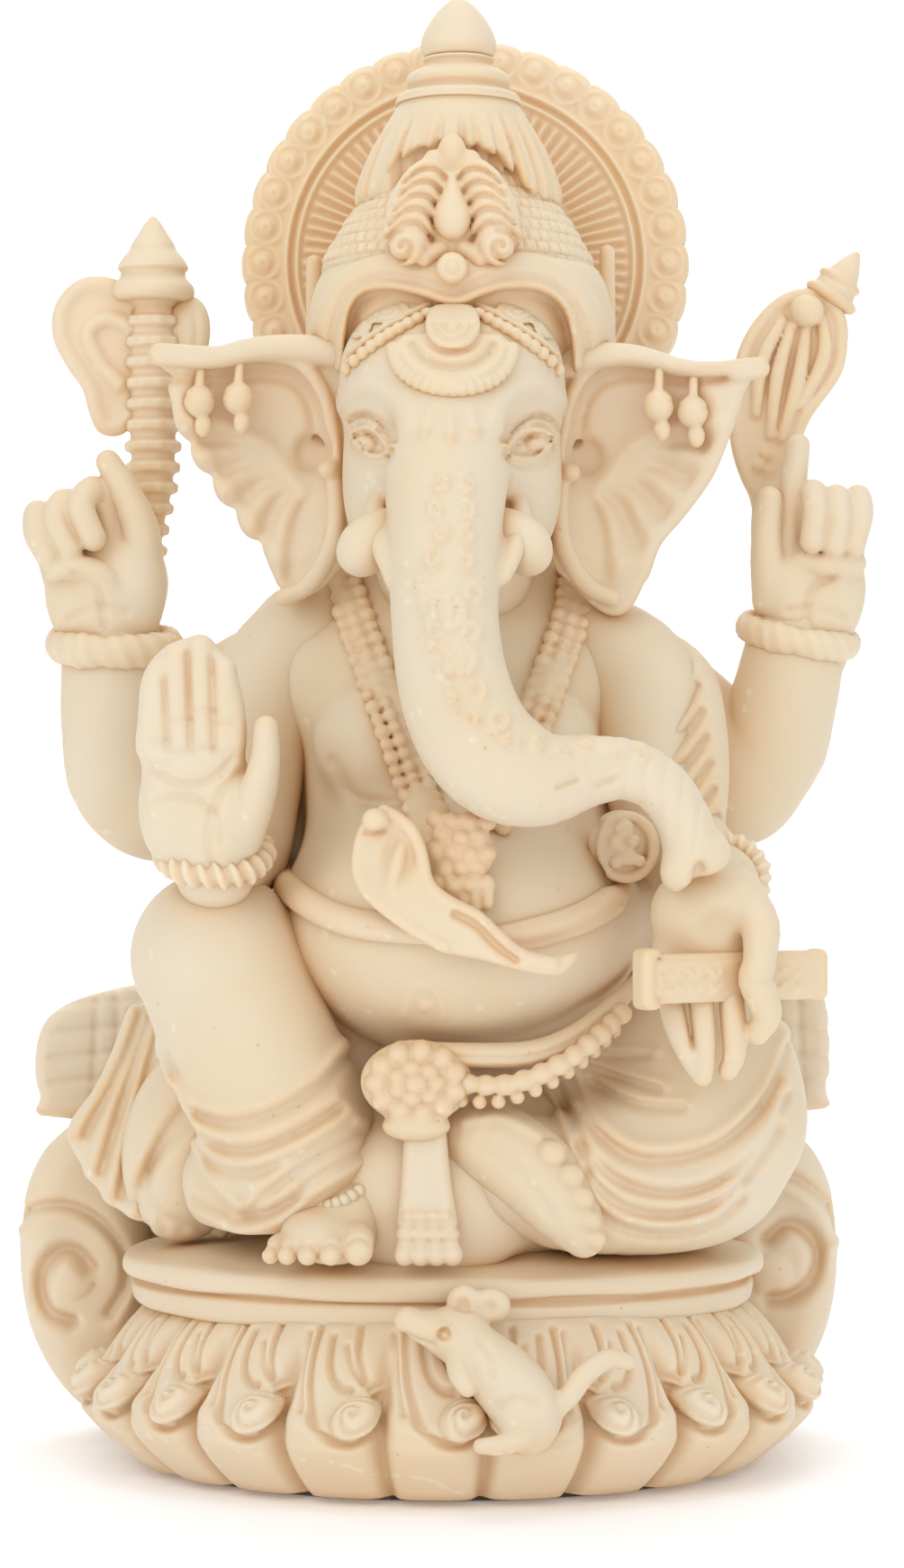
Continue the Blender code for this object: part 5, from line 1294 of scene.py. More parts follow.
    fingers = [
        [(44.8, -2.2, 118.4, 3.1), (43.6, -3.8, 125.0, 2.2), (43.9, -4.6, 132.0, 1.7)],
        [(46.6, -1.4, 124.4, 2.4), (47.2, -2.2, 133.0, 2.0), (48.0, -2.4, 139.4, 1.7)],
        [(49.4, -1.0, 125.0, 2.3), (49.8, -3.4, 132.6, 1.95), (50.2, -6.0, 130.4, 1.85),
         (49.6, -6.2, 126.0, 1.7)],
        [(52.6, -1.0, 125.0, 2.2), (53.0, -3.2, 132.0, 1.95), (53.4, -5.8, 129.6, 1.8),
         (52.6, -6.0, 125.4, 1.65)],
        [(55.0, -0.8, 123.0, 2.2), (56.0, -2.6, 132.0, 1.8), (56.4, -5.0, 129.8, 1.7),
         (55.4, -5.6, 125.4, 1.5)],
        [(48.6, -4.0, 123.4, 1.6), (52.4, -4.8, 122.6, 1.9), (55.6, -3.6, 123.2, 1.7)],
    ]
    fold = [stroke(curve([(52.6, 121.4), (49.6, 119.4), (48.6, 114.6)], 5), 0.6, -0.6, y=(-99, -2)),
            stroke(curve([(54.4, 115.8), (50.6, 117.2), (46.4, 116.6)], 5), 0.5, -0.4, y=(-99, -2))]
    build_hand("rear_left_hand", [
        ((50.4, -0.6, 120.6), (7.0, 4.5, 7.0)), ((46.8, -3.0, 119.0), (3.6, 3.2, 5.2)),
        ((54.0, -2.2, 118.6), (3.0, 2.8, 5.0)),
    ], fingers, [(49.6, -0.4, 115.6, 6.0), (49.2, 0, 111.0, 5.8)], fold)


def bangles():
    def ring(name, centre, radius, thick, tilt, rope):
        matrix = np.array(Euler([math.radians(a) for a in tilt]).to_matrix())
        points, around = 240, 14
        angle = np.arange(points) * math.tau / points
        grid = np.zeros((points + 1, around, 3))
        for k in range(around):
            turn = math.tau * k / around
            wave = (1 + rope * np.sin(22 * angle + 2 * turn) + 0.05 * np.sin(5 * angle)
                    + 0.04 * np.sin(9 * angle + 1))
            fat = thick * wave * (1.15 if rope else 1.0)
            reach = radius + fat * math.cos(turn)
            grid[:points, k] = np.stack([reach * np.cos(angle), reach * np.sin(angle),
                                         fat * 1.15 * math.sin(turn)], 1) @ matrix.T + centre
        grid[points] = grid[0]
        quads = grid_faces(points + 1, around)
        quads = np.where(quads >= points * around, quads - points * around, quads)
        new_piece(name + "_visual", grid[:points].reshape(-1, 3), quads[:, ::-1].copy(), [name],
                  ORNAMENT)
    ring("rear_right_bangle", (-46.0, 0, 112.2), 7.5, 1.75, (10, 1, 0), 0.04)
    ring("rear_left_bangle", (48.3, 0, 113.4), 6.9, 1.55, (10, 10, 0), 0.04)
    ring("front_right_bangle", (-30.4, -28.6, 84.2), 6.3, 1.35, (26, 4, 0), 0.24)
    ring("front_left_bangle", (35.6, -24.8, 80.6), 5.4, 1.2, (62, -12, 0), 0.16)


def attributes():
    low, high = box_of(["axe_shaft"], 0)
    x, y = (low[0] + high[0]) / 2, (low[1] + high[1]) / 2

    def rings(angle, t, z):
        bands = np.clip(np.sin(z * math.tau / 2.9) * 2.2, -1, 1)
        studs = 0.25 * np.cos(10 * angle) * (bands > 0)
        return 0.38 * (bands + studs) * (z < 159.5) * (z > 118)
    lathe("axe_shaft_visual", (x, y), [(0.2, 116), (1.2, 117), (1.4, 124), (1.9, 129), (3.0, 134),
                                       (3.5, 140), (3.5, 145), (3.6, 150),
                                       (3.5, 156), (3.2, 159.6), (5.0, 160.2), (5.7, 161.0), (5.6, 162.2),
                                       (4.6, 163.4),
                                       (4.5, 164.2), (4.9, 164.8), (4.3, 166.0), (3.3, 167.2), (2.9, 168.2),
                                       (2.0, 169.6),
                                       (1.2, 170.9), (0.3, 172.0)],
          ["axe_shaft"], ORNAMENT, 90, 220, relief=rings)
    clay = Clay()
    rim = curve([(-43.6, 160.0), (-46.8, 162.2), (-50.6, 162.2), (-53.4, 159.4), (-53.8, 155.4),
                 (-52.0, 151.6),
                 (-49.8, 148.4), (-48.8, 145.0), (-47.8, 142.8), (-45.8, 142.6), (-44.2, 144.2)], 5)
    clay.add(limb([(px, 4.6, pz, 1.15) for px, pz in rim[::2]]))
    blade = np.concatenate([rim, [(-43.4, 150.0)]])
    clay.add(sheet(blade, lambda a, b: 5.0 + 0 * a, 0.9, 0.6), 0.8)
    clay.add(limb([(-44.0, 4.4, 156.6, 1.3), (-47.4, 4.2, 157.6, 1.2), (-50.0, 4.2, 155.6, 1.1),
                   (-48.2, 4.2, 151.4, 1.1),
                   (-45.6, 4.2, 148.6, 1.2)]), 0.8)
    clay.add(ball((-36.4, 5.4, 155.4), (3.3, 2.0, 5.6), (0, 8, 0)), 0.6)
    clay.add(limb([(-44, 5.2, 156, 1.6), (-37.4, 5.2, 156, 1.6)]), 0.5)
    clay.mark(stroke(curve([(-35.6, 160), (-34.8, 155.4), (-35.8, 150.8)], 5), 0.4, -0.35, y=(-99, 4)))
    model("axe_head_visual", clay, ["axe_head"], ORNAMENT, cell=0.85,
          extent=((-59, -1, 138), (-31, 12, 168)))

    clay = Clay()
    rim = curve([(43.4, 131.6), (41.2, 135.0), (39.8, 139.5), (39.4, 145.0), (40.2, 151.0), (41.8, 155.6),
                 (44.8, 159.6),
                 (48.4, 161.8), (52.4, 161.6), (55.0, 158.6), (55.2, 154.2), (54.4, 150.6), (52.1, 147.2),
                 (49.2, 142.9),
                 (48.2, 138.6), (46.8, 134.0)], 3, True)[:-1]
    clay.add(sheet(rim, lambda a, b: 6.0 + 0 * a, 1.9, 1.4))
    ring = rim * 0.93 + (3.3, 10.3)
    clay.add(limb([(px, 4.6, pz, 0.95) for px, pz in ring[::2]] + [(ring[0][0], 4.6, ring[0][1], 0.95)]), 0.5)
    strands = (((46.4, 157.4), (43.6, 151.6), (42.8, 144.4)), ((47.8, 156.6), (45.8, 150.0), (44.8, 141.4)),
               ((49.8, 156.6), (48.8, 150.0), (46.4, 141.0)), ((52.0, 157.6), (52.2, 152.4), (49.0, 145.6)))
    for top, mid, low in strands:
        clay.add(limb([(top[0], 3.9, top[1], 0.75), (mid[0], 3.4, mid[1], 1.05),
                       (low[0], 4.0, low[1], 0.75)]), 0.3)
    clay.add(ball((49.8, 3.0, 158.6), (2.4, 2.0, 2.3)), 0.3)
    for x, z in ((44.2, 138.8), (44.8, 136.4), (43.2, 137.2)):
        clay.add(ball((x, 4.2, z), (1.0, 1.0, 1.0)), 0.3)
    clay.add(limb([(44.9, 5.4, 133.6, 2.4), (44.8, 5.0, 127.0, 2.6), (45.4, 5.0, 118.5, 2.3)]), 1.2)
    model("noose_visual", clay, ["noose"], ORNAMENT, cell=0.85,
          extent=((36, -1, 114), (59, 11, 165)))
    clay = Clay()
    tilt = (0, 32, 0)
    clay.add(ball((53.4, 5.5, 160.8), (4.0, 3.2, 1.3), tilt))
    clay.add(ball((54.0, 5.5, 162.0), (3.0, 2.6, 1.5), tilt), 0.2)
    clay.add(ball((54.6, 5.5, 163.0), (3.3, 2.8, 0.9), tilt), 0.2)
    clay.add(limb([(54.8, 5.5, 163.2, 2.4), (55.8, 5.5, 164.9, 1.6), (56.8, 5.5, 166.5, 0.7)]), 0.3)
    model("noose_finial_visual", clay, ["noose_finial"], ORNAMENT, cell=0.8, margin=3)

    clay = Clay()
    turn = (0, 0, 27)
    clay.add(slab((36.4, -36.6, 68.4), (13.8, 1.6, 3.2), 0.9, turn))
    for side in (-1, 1):
        end = (36.4 + side * 12.6 * 0.891, -36.6 + side * 12.6 * 0.454, 68.4)
        clay.add(slab(end, (1.4, 1.9, 3.9) if side < 0 else (1.0, 1.6, 3.3), 0.9, turn), 0.4)
    clay.mark(stroke([(26.6, 65.8), (48.4, 65.8)], 0.35, -0.35, y=(-99, -20)),
              stroke([(26.6, 71.0), (48.4, 71.0)], 0.35, -0.35, y=(-99, -20)),
              stroke([(26.4, 66.0), (26.4, 71.0)], 0.35, -0.4, y=(-99, -20)))
    for x in (28.2, 31.0, 33.8, 41.6, 44.2):
        clay.mark(stroke(curve([(x - 1.2, 68.9), (x - 0.4, 69.5), (x + 0.4, 68.5), (x + 1.2, 69.1)], 5),
                         0.35, 0.35, y=(-99, -20)),
                  stroke(curve([(x - 1.2, 67.1), (x - 0.4, 67.7), (x + 0.4, 66.7), (x + 1.2, 67.3)], 5),
                         0.35, 0.3, y=(-99, -20)))
    model("manuscript_visual", clay, ["manuscript"], ORNAMENT, cell=0.8, margin=3)


# ---------------------------------------------------------------- jewellery

def necklace(body):
    """Three rows of knobs down each side of the chest, meeting in a tassel."""
    clay = Clay()
    routes = ([(-15.0, 123.5), (-13.4, 118.0), (-9.6, 107.5), (-6.4, 99.0), (-4.0, 92.0), (-1.0, 85.8)],
              [(17.6, 122.0), (16.8, 116.0), (12.4, 104.0), (8.8, 95.6), (5.6, 88.0)])
    for route in routes:
        middle = spaced(curve(route, 8), 1.75)
        across = np.gradient(middle, axis=0)[:, ::-1] * (1, -1)
        across /= np.linalg.norm(across, axis=1)[:, None]
        for lane in (-1.75, 0.0, 1.75):
            for k, (x, y, z) in enumerate(drape(body, middle + across * lane, 1.55 - 0.16 * abs(lane))):
                swell = 1 + 0.09 * math.sin(3.1 * k + lane)
                clay.add(ball((x, y, z), (0.98 * swell, 1.15, 0.98 * swell)), 0.3)
        clay.add(limb(laid(body, route, 2.5, 0.58), (1, 0.6)), 0.5)
    low, high = box_of(["necklace"], 3)
    model("necklace_visual", clay, ["necklace"], ORNAMENT, cell=0.75,
          extent=(low - (1, 3, 0), high + (1, 2, 3)))

    clay = Clay()
    clay.add(ball((1.8, -38.4, 84.4), (4.2, 1.8, 4.4)))
    rng = np.random.default_rng(5)
    for row in range(5):
        for column in range(4 - row % 2):
            x = -1.6 + 2.2 * column + 1.1 * (row % 2) + rng.uniform(-0.25, 0.25)
            z = 88.4 - 2.05 * row + rng.uniform(-0.25, 0.25)
            clay.add(ball((x, -39.8 + 0.25 * abs(x - 1.8), z), (1.3, 1.3, 1.2)), 0.35)
    for k in range(5):
        x = -1.4 + 1.6 * k
        clay.add(limb([(x, -39.4, 80.6, 0.95), (x + 0.1, -39.4, 77.8 - 0.5 * (k % 2), 0.8)]), 0.25)
    model("necklace_pendant_visual", clay, ["necklace_pendant"], ORNAMENT, cell=0.7,
          extent=((-5, -45, 73), (9, -33, 92)))


def snake(body):
    """A cobra tied round the belly: the band, with its hood, folded neck and tail end in front."""
    clay = Clay()
    left = [(-25.0, 84.0), (-22.6, 80.4), (-18.0, 77.4), (-13.0, 75.4), (-7.0, 74.6), (-1.0, 74.4)]
    right = [(4.0, 72.8), (8.0, 73.4), (13.0, 74.4), (17.4, 75.8), (21.0, 77.6), (23.4, 79.4)]
    clay.add(limb(laid(body, left, 1.9, 0.35)))
    route = drape(body, curve(right, 6), 0.6)
    wide = np.interp(np.linspace(0, 1, len(route)), (0, 0.3, 0.8, 1.0), (1.6, 2.0, 2.1, 0.9))
    clay.add(limb(np.concatenate([route, wide[:, None]], 1)))
    clay.add(limb([(-24.4, -12.0, 85.0, 1.6), (-26.0, -6.0, 88.0, 1.4)]), 1.0)
    clay.mark(stroke(curve([(5.0, 71.8), (12.0, 72.9), (18.0, 74.8), (22.6, 77.8)], 6), 0.5, -0.5,
                     y=(-99, -25)),
              stroke(curve([(8.0, 74.6), (14.0, 76.0), (19.6, 78.2)], 6), 0.4, -0.25, y=(-99, -25)),
              dots([(-15.4 + 1.1 * k, 75.2 - 0.08 * k) for k in range(7)], 0.3, -0.3, y=(-99, -15)))
    model("snake_belt_visual", clay, ["snake_belt"], ORNAMENT, cell=0.9,
          extent=((-31, -46, 66), (31, -3, 94)))

    outline = curve([(-9.4, 89.4), (-11.4, 85.6), (-11.6, 81.4), (-9.6, 78.2), (-4.5, 74.3), (-0.1, 71.8),
                     (4.7, 70.7),
                     (9.0, 69.5), (14.3, 68.8), (17.0, 71.8), (12.7, 71.2), (9.4, 72.4), (6.3, 75.0),
                     (3.8, 77.2),
                     (0.6, 78.8), (-1.9, 80.6), (-2.9, 84.6), (-4.5, 87.9), (-7.2, 90.0)], 4, True)[:-1]
    clay = Clay()

    def depth(x, z):
        return -42.4 + 0.055 * (x + 4.0) ** 2 * (x < -4) + 0.012 * (x - 2) ** 2 * (x > 2)
    clay.add(sheet(outline, depth, 1.5, 1.1))
    clay.cut(ball((-6.6, -46.6, 83.6), (3.5, 4.4, 5.4), (0, 14, 0)), 0.9)
    rims = ([(-9.4, 89.0), (-11.0, 85.6), (-11.2, 81.4), (-9.2, 78.4), (-4.4, 74.8), (-0.1, 72.4)],
            [(-8.0, 89.6), (-4.8, 87.6), (-3.3, 84.4), (-2.4, 80.6), (0.4, 78.0), (3.6, 76.4), (6.0, 74.2),
             (9.0, 71.6),
             (13.4, 70.4)])
    for rim in rims:
        line = curve(rim, 3)
        clay.add(limb([(x, float(depth(x, z)) - 1.1, z, 0.8) for x, z in line], steps=2), 0.6)
    clay.add(ball((-9.0, -44.2, 88.4), (1.7, 1.9, 1.6)), 0.3)
    clay.add(ball((-6.4, -42.6, 82.6), (1.1, 1.8, 3.6), (0, 14, 0)), 1.0)
    clay.mark(stroke(curve([(1.0, 76.6), (3.6, 75.2), (6.0, 72.8), (8.6, 70.8)], 6), 0.55, -0.9),
              stroke([(-10.4, 86.9), (-8.0, 87.2)], 0.35, -0.5))
    model("snake_hood_visual", clay, ["snake_hood"], ORNAMENT, cell=0.7,
          extent=((-16, -49, 64), (22, -36, 95)))


def waist():
    clay = Clay()
    middle = (-4.0, 54.6)
    clay.add(ball((middle[0], -31.6, middle[1]), (7.2, 3.0, 5.4)))
    for k in range(11):
        a = math.tau * k / 11 + 0.3
        clay.add(ball((middle[0] + 5.0 * math.cos(a), -33.2, middle[1] + 3.9 * math.sin(a)), (1.7, 1.6, 1.5),
                      (0, -math.degrees(a), 0)), 0.3)
    for k in range(7):
        a = math.tau * k / 7
        clay.add(ball((middle[0] + 2.6 * math.cos(a), -34.4, middle[1] + 2.0 * math.sin(a)),
                      (1.2, 1.1, 1.1)), 0.25)
    clay.add(ball((middle[0], -35.0, middle[1]), (1.5, 1.3, 1.4)), 0.3)
    clay.add(ball((middle[0], -32.0, 48.9), (4.4, 2.4, 2.0)), 0.8)
    model("waist_buckle_visual", clay, ["waist_buckle"], ORNAMENT, cell=0.7,
          extent=((-15, -41, 44), (7, -26, 64)))

    route = curve([(2.6, -32.8, 54.4), (7.6, -34.2, 54.4), (13.4, -33.8, 56.4), (18.6, -31.2, 59.6),
                   (22.6, -26.8, 63.0)], 8)
    clay = Clay()
    for k, (x, y, z) in enumerate(spaced(route, 2.5)):
        clay.add(ball((x, y, z), (1.45 + 0.12 * math.sin(4 * k), 1.4, 1.4)), 0.35)
        clay.add(ball((x - 0.8, y + 0.6, z - 2.2), (0.95, 0.9, 0.95)), 0.3)
    clay.add(limb([(*point, 0.9) for point in route[::4]]), 0.4)
    model("waist_beads_visual", clay, ["waist_beads"], ORNAMENT, cell=0.75,
          extent=((-1, -39, 48), (26, -22, 68)))

    band = Clay()
    band.add(limb([(-6.0, -30.0, 58.4, 1.4), (2.8, -31.4, 58.0, 1.6), (10.7, -31.8, 58.2, 1.7),
                   (16.4, -29.8, 60.2, 1.6),
                   (21.2, -26.0, 63.6, 1.4), (25.6, -21.0, 67.6, 1.0)]))
    band.mark(stroke(curve([(-4, 58.2), (3, 57.8), (10.7, 58.0), (16.4, 60.0), (21.2, 63.4)], 6), 0.35, -0.4))
    model("waistband", band, [], CLOTH, cell=0.8, extent=((-10, -36, 52), (30, -16, 73)))

    clay = Clay()
    for k in range(4):
        spread = k - 1.5
        clay.add(limb([(-2.9 + 0.9 * spread, -31.0, 49.4, 1.3), (-2.7 + 1.3 * spread, -31.8, 41.0, 1.35),
                       (-2.5 + 1.9 * spread, -32.4, 34.2, 1.4)]), 0.3)
        clay.add(ball((-2.4 + 2.05 * spread, -32.8, 32.4), (1.35, 1.4, 1.5)), 0.25)
        clay.add(ball((-2.6 + 1.6 * spread, -33.2, 37.4), (0.9, 0.9, 0.9)), 0.3)
    clay.mark(stroke([(-8, 34.2), (3, 34.2)], 0.35, -0.4), stroke([(-8, 35.8), (3, 35.8)], 0.3, -0.3))
    model("front_pleats_visual", clay, ["front_pleats"], CLOTH, cell=0.7,
          extent=((-11, -38, 28.4), (6, -26, 53)))


def shoulder_sash():
    """Cloth that falls down the outer arm in slanting folds, and the round medallion at its end."""
    clay = Clay()
    clay.add(limb([(24.6, 7, 111.6, 3.4), (28.2, 2, 110.8, 4.0), (31.8, -4, 106.8, 4.8),
                   (32.4, -8, 101.0, 5.4), (32.2, -10.5, 94.0, 5.8),
                   (32.0, -13.0, 87.6, 5.2)]))
    clay.add(limb([(21, 9, 111.5, 3.6), (28, 6, 108.6, 4.4), (32.6, 1, 103, 5.0), (33.0, -2, 94.0, 5.0),
                   (33.0, -5, 88, 4.4)]), 3)
    for k in range(7):
        z = 104.6 - 3.5 * k
        low, high = (28.2 + 0.5 * k, z - 4.0), (33.6 + 0.45 * k, z + 1.6)
        middle = ((low[0] + high[0]) / 2 + 0.3, (low[1] + high[1]) / 2 - 0.5)
        clay.mark(stroke(curve([low, middle, high], 6), 0.7, -1.15, y=(-99, 0)),
                  stroke(curve([(x, h + 1.7) for x, h in (low, middle, high)], 6), 1.0, 0.6, y=(-99, 0)))
    for k in range(4):
        clay.mark(stroke([(27 + 2 * k, -2, 116 - 2.5 * k), (23 + 3.4 * k, 12, 110 - 3 * k)], 0.9, -0.6,
                         "solid"))
    model("shoulder_sash_visual", clay, ["shoulder_sash"], CLOTH, cell=0.9, margin=4)

    clay = Clay()
    clay.add(ball((22.6, -24.6, 85.0), (4.2, 4.4, 4.6)))
    clay.add(limb([(23.2 + 3.7 * math.cos(a), -27.6, 84.8 + 4.0 * math.sin(a),
                    0.75) for a in np.linspace(0, math.tau, 20)]), 0.4)
    for x, z, wide in ((23.0, 87.2, 1.3), (24.2, 85.6, 0.9), (22.0, 85.4, 1.1), (23.6, 83.6, 1.2),
                       (22.0, 82.8, 0.9), (25.0, 83.0, 0.8)):
        clay.add(ball((x, -28.8, z), (wide, 0.9, wide)), 0.3)
    clay.mark(stroke(curve([(19.8, 87.8), (19.2, 84.6), (20.2, 81.6)], 5), 0.5, -0.6))
    model("sash_pouch", clay, [], CLOTH, cell=0.8, extent=((14, -36, 76), (30, -18, 94)))


# ---------------------------------------------------------------- legs and cloth

def legs():
    clay = Clay()
    clay.add(limb([(-14, -2, 54, 12.0), (-23, -12, 64, 11.0), (-30.4, -21.0, 70.0, 10.8)]))
    clay.add(limb([(-30.4, -21.4, 70.4, 11.0), (-26.6, -22.6, 60, 11.4), (-22.0, -21.6, 49.0, 11.6),
                   (-19.6, -19.0, 41, 11.0),
                   (-20.0, -17.6, 36.0, 11.4)]), 2)
    clay.add(ball((-27.4, -15.0, 40.0), (8.0, 9.0, 8.0)), 3)
    clay.keep(above(34.4 - 0.0), 1.0)
    folds = (([(-39.0, 58.4), (-37.0, 55.6), (-34.2, 52.7), (-28.7, 51.0), (-22.5, 52.3), (-16.2, 55.9),
               (-13.4, 58.8)], 0.9),
             ([(-36.4, 54.6), (-34.9, 51.6), (-31.5, 48.3), (-25.9, 47.4), (-20.4, 49.2), (-14.2, 52.5)],
              1.0),
             ([(-34.4, 51.4), (-33.2, 48.6), (-31.1, 45.4), (-27.3, 44.0), (-21.8, 45.4), (-16.0, 48.4),
               (-12.6, 50.6)], 0.95),
             ([(-27.4, 37.4), (-25.2, 39.6), (-20.4, 44.0), (-16.2, 46.6), (-11.4, 49.4)], 0.8),
             ([(-33.4, 45.6), (-32.2, 42.6), (-28.7, 39.2), (-24.5, 38.4), (-19.4, 41.2)], 0.8))
    for fold, height in folds:
        clay.mark(stroke(curve(fold, 6), 0.95, height, y=(-99, -8)),
                  stroke(curve([(x, z - 1.7) for x, z in fold], 6), 0.75, -0.75 * height, y=(-99, -8)))
    for side_fold in ([(-40.6, 64.0), (-38.8, 58.0), (-36.0, 51.0)],
                      [(-37.6, 62.0), (-35.4, 54.0), (-33.4, 47.0)]):
        clay.mark(stroke(curve(side_fold, 6), 0.9, -0.5, y=(-99, -8)))
    hem = curve([(-33.4, 36.8), (-27.0, 35.0), (-21.4, 36.6), (-17.4, 40.0), (-11.4, 43.4), (-8.4, 45.4)], 6)
    clay.mark(stroke(hem, 0.8, 0.8, y=(-99, -8)), stroke(hem + (0, 1.7), 0.5, -0.35, y=(-99, -8)))
    model("right_leg_visual", clay, ["right_leg"], CLOTH, margin=5)

    clay = Clay()
    clay.add(limb([(12, -2, 54, 12.0), (24, -8, 55, 13.0), (35, -12, 54.0, 12.0)]))
    clay.add(ball((33.5, -13.5, 48.0), (12.6, 14.0, 13.0)), 4)
    clay.add(limb([(37, -14, 47, 10.5), (28, -19, 43.6, 11.2), (17.6, -23.0, 41.0, 9.6),
                   (10.0, -24.6, 42.0, 7.6)]), 4)
    clay.add(ball((28.0, -13.0, 38.0), (15.0, 14.0, 7.5)), 4)
    clay.keep(above(29.8), 0.8)
    drapes = ([(16.4, 54.4), (17.2, 51.9), (19.6, 48.1), (25.2, 44.9), (33.9, 45.9), (41.0, 51.4),
               (45.1, 58.7)],
              [(16.6, 50.6), (18.8, 45.3), (22.8, 41.9), (29.2, 40.3), (35.5, 41.9), (41.1, 46.7),
               (44.6, 52.4)],
              [(17.2, 46.6), (18.6, 42.7), (22.8, 38.7), (29.2, 37.5), (35.5, 39.1), (40.3, 43.6),
               (43.6, 48.4)],
              [(17.6, 42.6), (18.9, 39.2), (22.2, 36.2), (27.6, 34.6), (33.9, 35.5), (38.6, 39.2)])
    for k, route in enumerate(drapes):
        line = curve(route, 6)
        clay.mark(stroke(line + (0, 1.3), 1.05, 0.95, y=(-99, -2)),
                  stroke(line + (0, -0.5), 0.75, -1.0, y=(-99, -2)))
    for route, width in (([(12.2, 51.6), (14.8, 47.0), (16.4, 41.9), (17.6, 36.6)], 0.9),
                         ([(14.8, 52.6), (17.0, 46.6), (17.9, 43.0)], 0.8),
                         ([(18.4, 55.6), (22.4, 54.4), (27.4, 53.2)], 0.7),
                         ([(18.8, 53.6), (24.4, 51.4), (30.4, 51.0)], 0.7),
                         ([(17.4, 57.6), (22.6, 57.2), (26.4, 57.4)], 0.6)):
        clay.mark(stroke(curve(route, 6), width, -0.75, y=(-99, -8)),
                  stroke(curve(route, 6) + (1.1, 0.6), width, 0.45, y=(-99, -8)))
    model("left_leg_visual", clay, ["left_leg"], CLOTH, margin=5)

    clay = Clay()
    clay.add(ball((0, 1.0, 44), (35, 20.0, 17.0)))
    clay.add(ball((0, -9, 40), (27, 20, 12.5)), 4)
    clay.add(ball((-34.5, -6.0, 44.5), (9.5, 9.0, 14.0), (0, 14, 0)), 4)
    clay.add(ball((-2, -24.0, 38), (12, 6, 11)), 4)
    clay.keep(above(29.0), 0.5)
    for k in range(9):
        x = -32 + 8 * k
        clay.mark(stroke(curve([(x * 0.5, 60), (x * 0.85, 48), (x, 32)], 6), 1.2, -0.8, y=(4, 99)))
    for k in range(5):
        clay.mark(stroke(curve([(-30, 56 - k), (-38 - k, 46 - 2 * k), (-43 + 2.4 * k, 33)], 6), 0.8, -0.5,
                         y=(-99, 2)))
    model("hips_visual", clay, ["hips"], CLOTH, cell=1.2, margin=5)


def dhoti_fan():
    """A gathered fan of pleats that falls from behind the knee."""
    edge = curve([(-30, 64.6), (-38, 63.4), (-43.2, 61.6), (-45.6, 56.4), (-48.4, 50.6), (-51.8, 46.6),
                  (-51.8, 43.2), (-50.0, 40.2),
                  (-47.8, 37.4), (-45.0, 35.0), (-40, 33.2), (-34, 32.4), (-29, 34.0)], 5, True)[:-1]

    def middle(x, z):
        return 2.6 - 8.5 * np.clip((60 - z) / 26, 0, 1) * np.clip((x + 56) / 14, 0.35, 1)
    clay = Clay()
    clay.add(sheet(edge, middle, 2.3, 1.3))
    clay.add(ball((-34.5, -3.0, 45.0), (6.0, 7.0, 12.0), (0, 10, 0)), 3)
    routes = ([(-43.6, 62.0), (-46.6, 53.4), (-51.4, 44.6)], [(-42.4, 61.4), (-45.2, 52.0), (-49.0, 39.6)],
              [(-41.0, 60.4), (-43.2, 50.4), (-46.2, 36.6)], [(-39.6, 59.0), (-41.0, 48.6), (-42.6, 35.0)],
              [(-38.2, 57.4), (-38.6, 46.6), (-38.8, 33.8)], [(-36.6, 55.0), (-36.0, 44.6), (-35.0, 33.4)])
    for route in routes:
        line = curve(route, 7)
        clay.mark(stroke(line, 1.05, 0.95, y=(-99, 2)), stroke(line + (1.65, 0.3), 0.7, -1.1, y=(-99, 2)),
                  stroke(line, 0.9, 0.6, y=(2, 30)))
    for x, z in ((-42.6, 40.6), (-41.0, 44.4), (-39.6, 41.8)):
        clay.mark(stroke(curve([(x - 1.6, z + 0.8), (x, z), (x + 1.8, z + 0.5)], 4), 0.35, -0.35, y=(-99, 2)))
    model("dhoti_fan_visual", clay, ["dhoti_fan"], CLOTH, extent=((-60, -16, 28), (-22, 12, 68)))


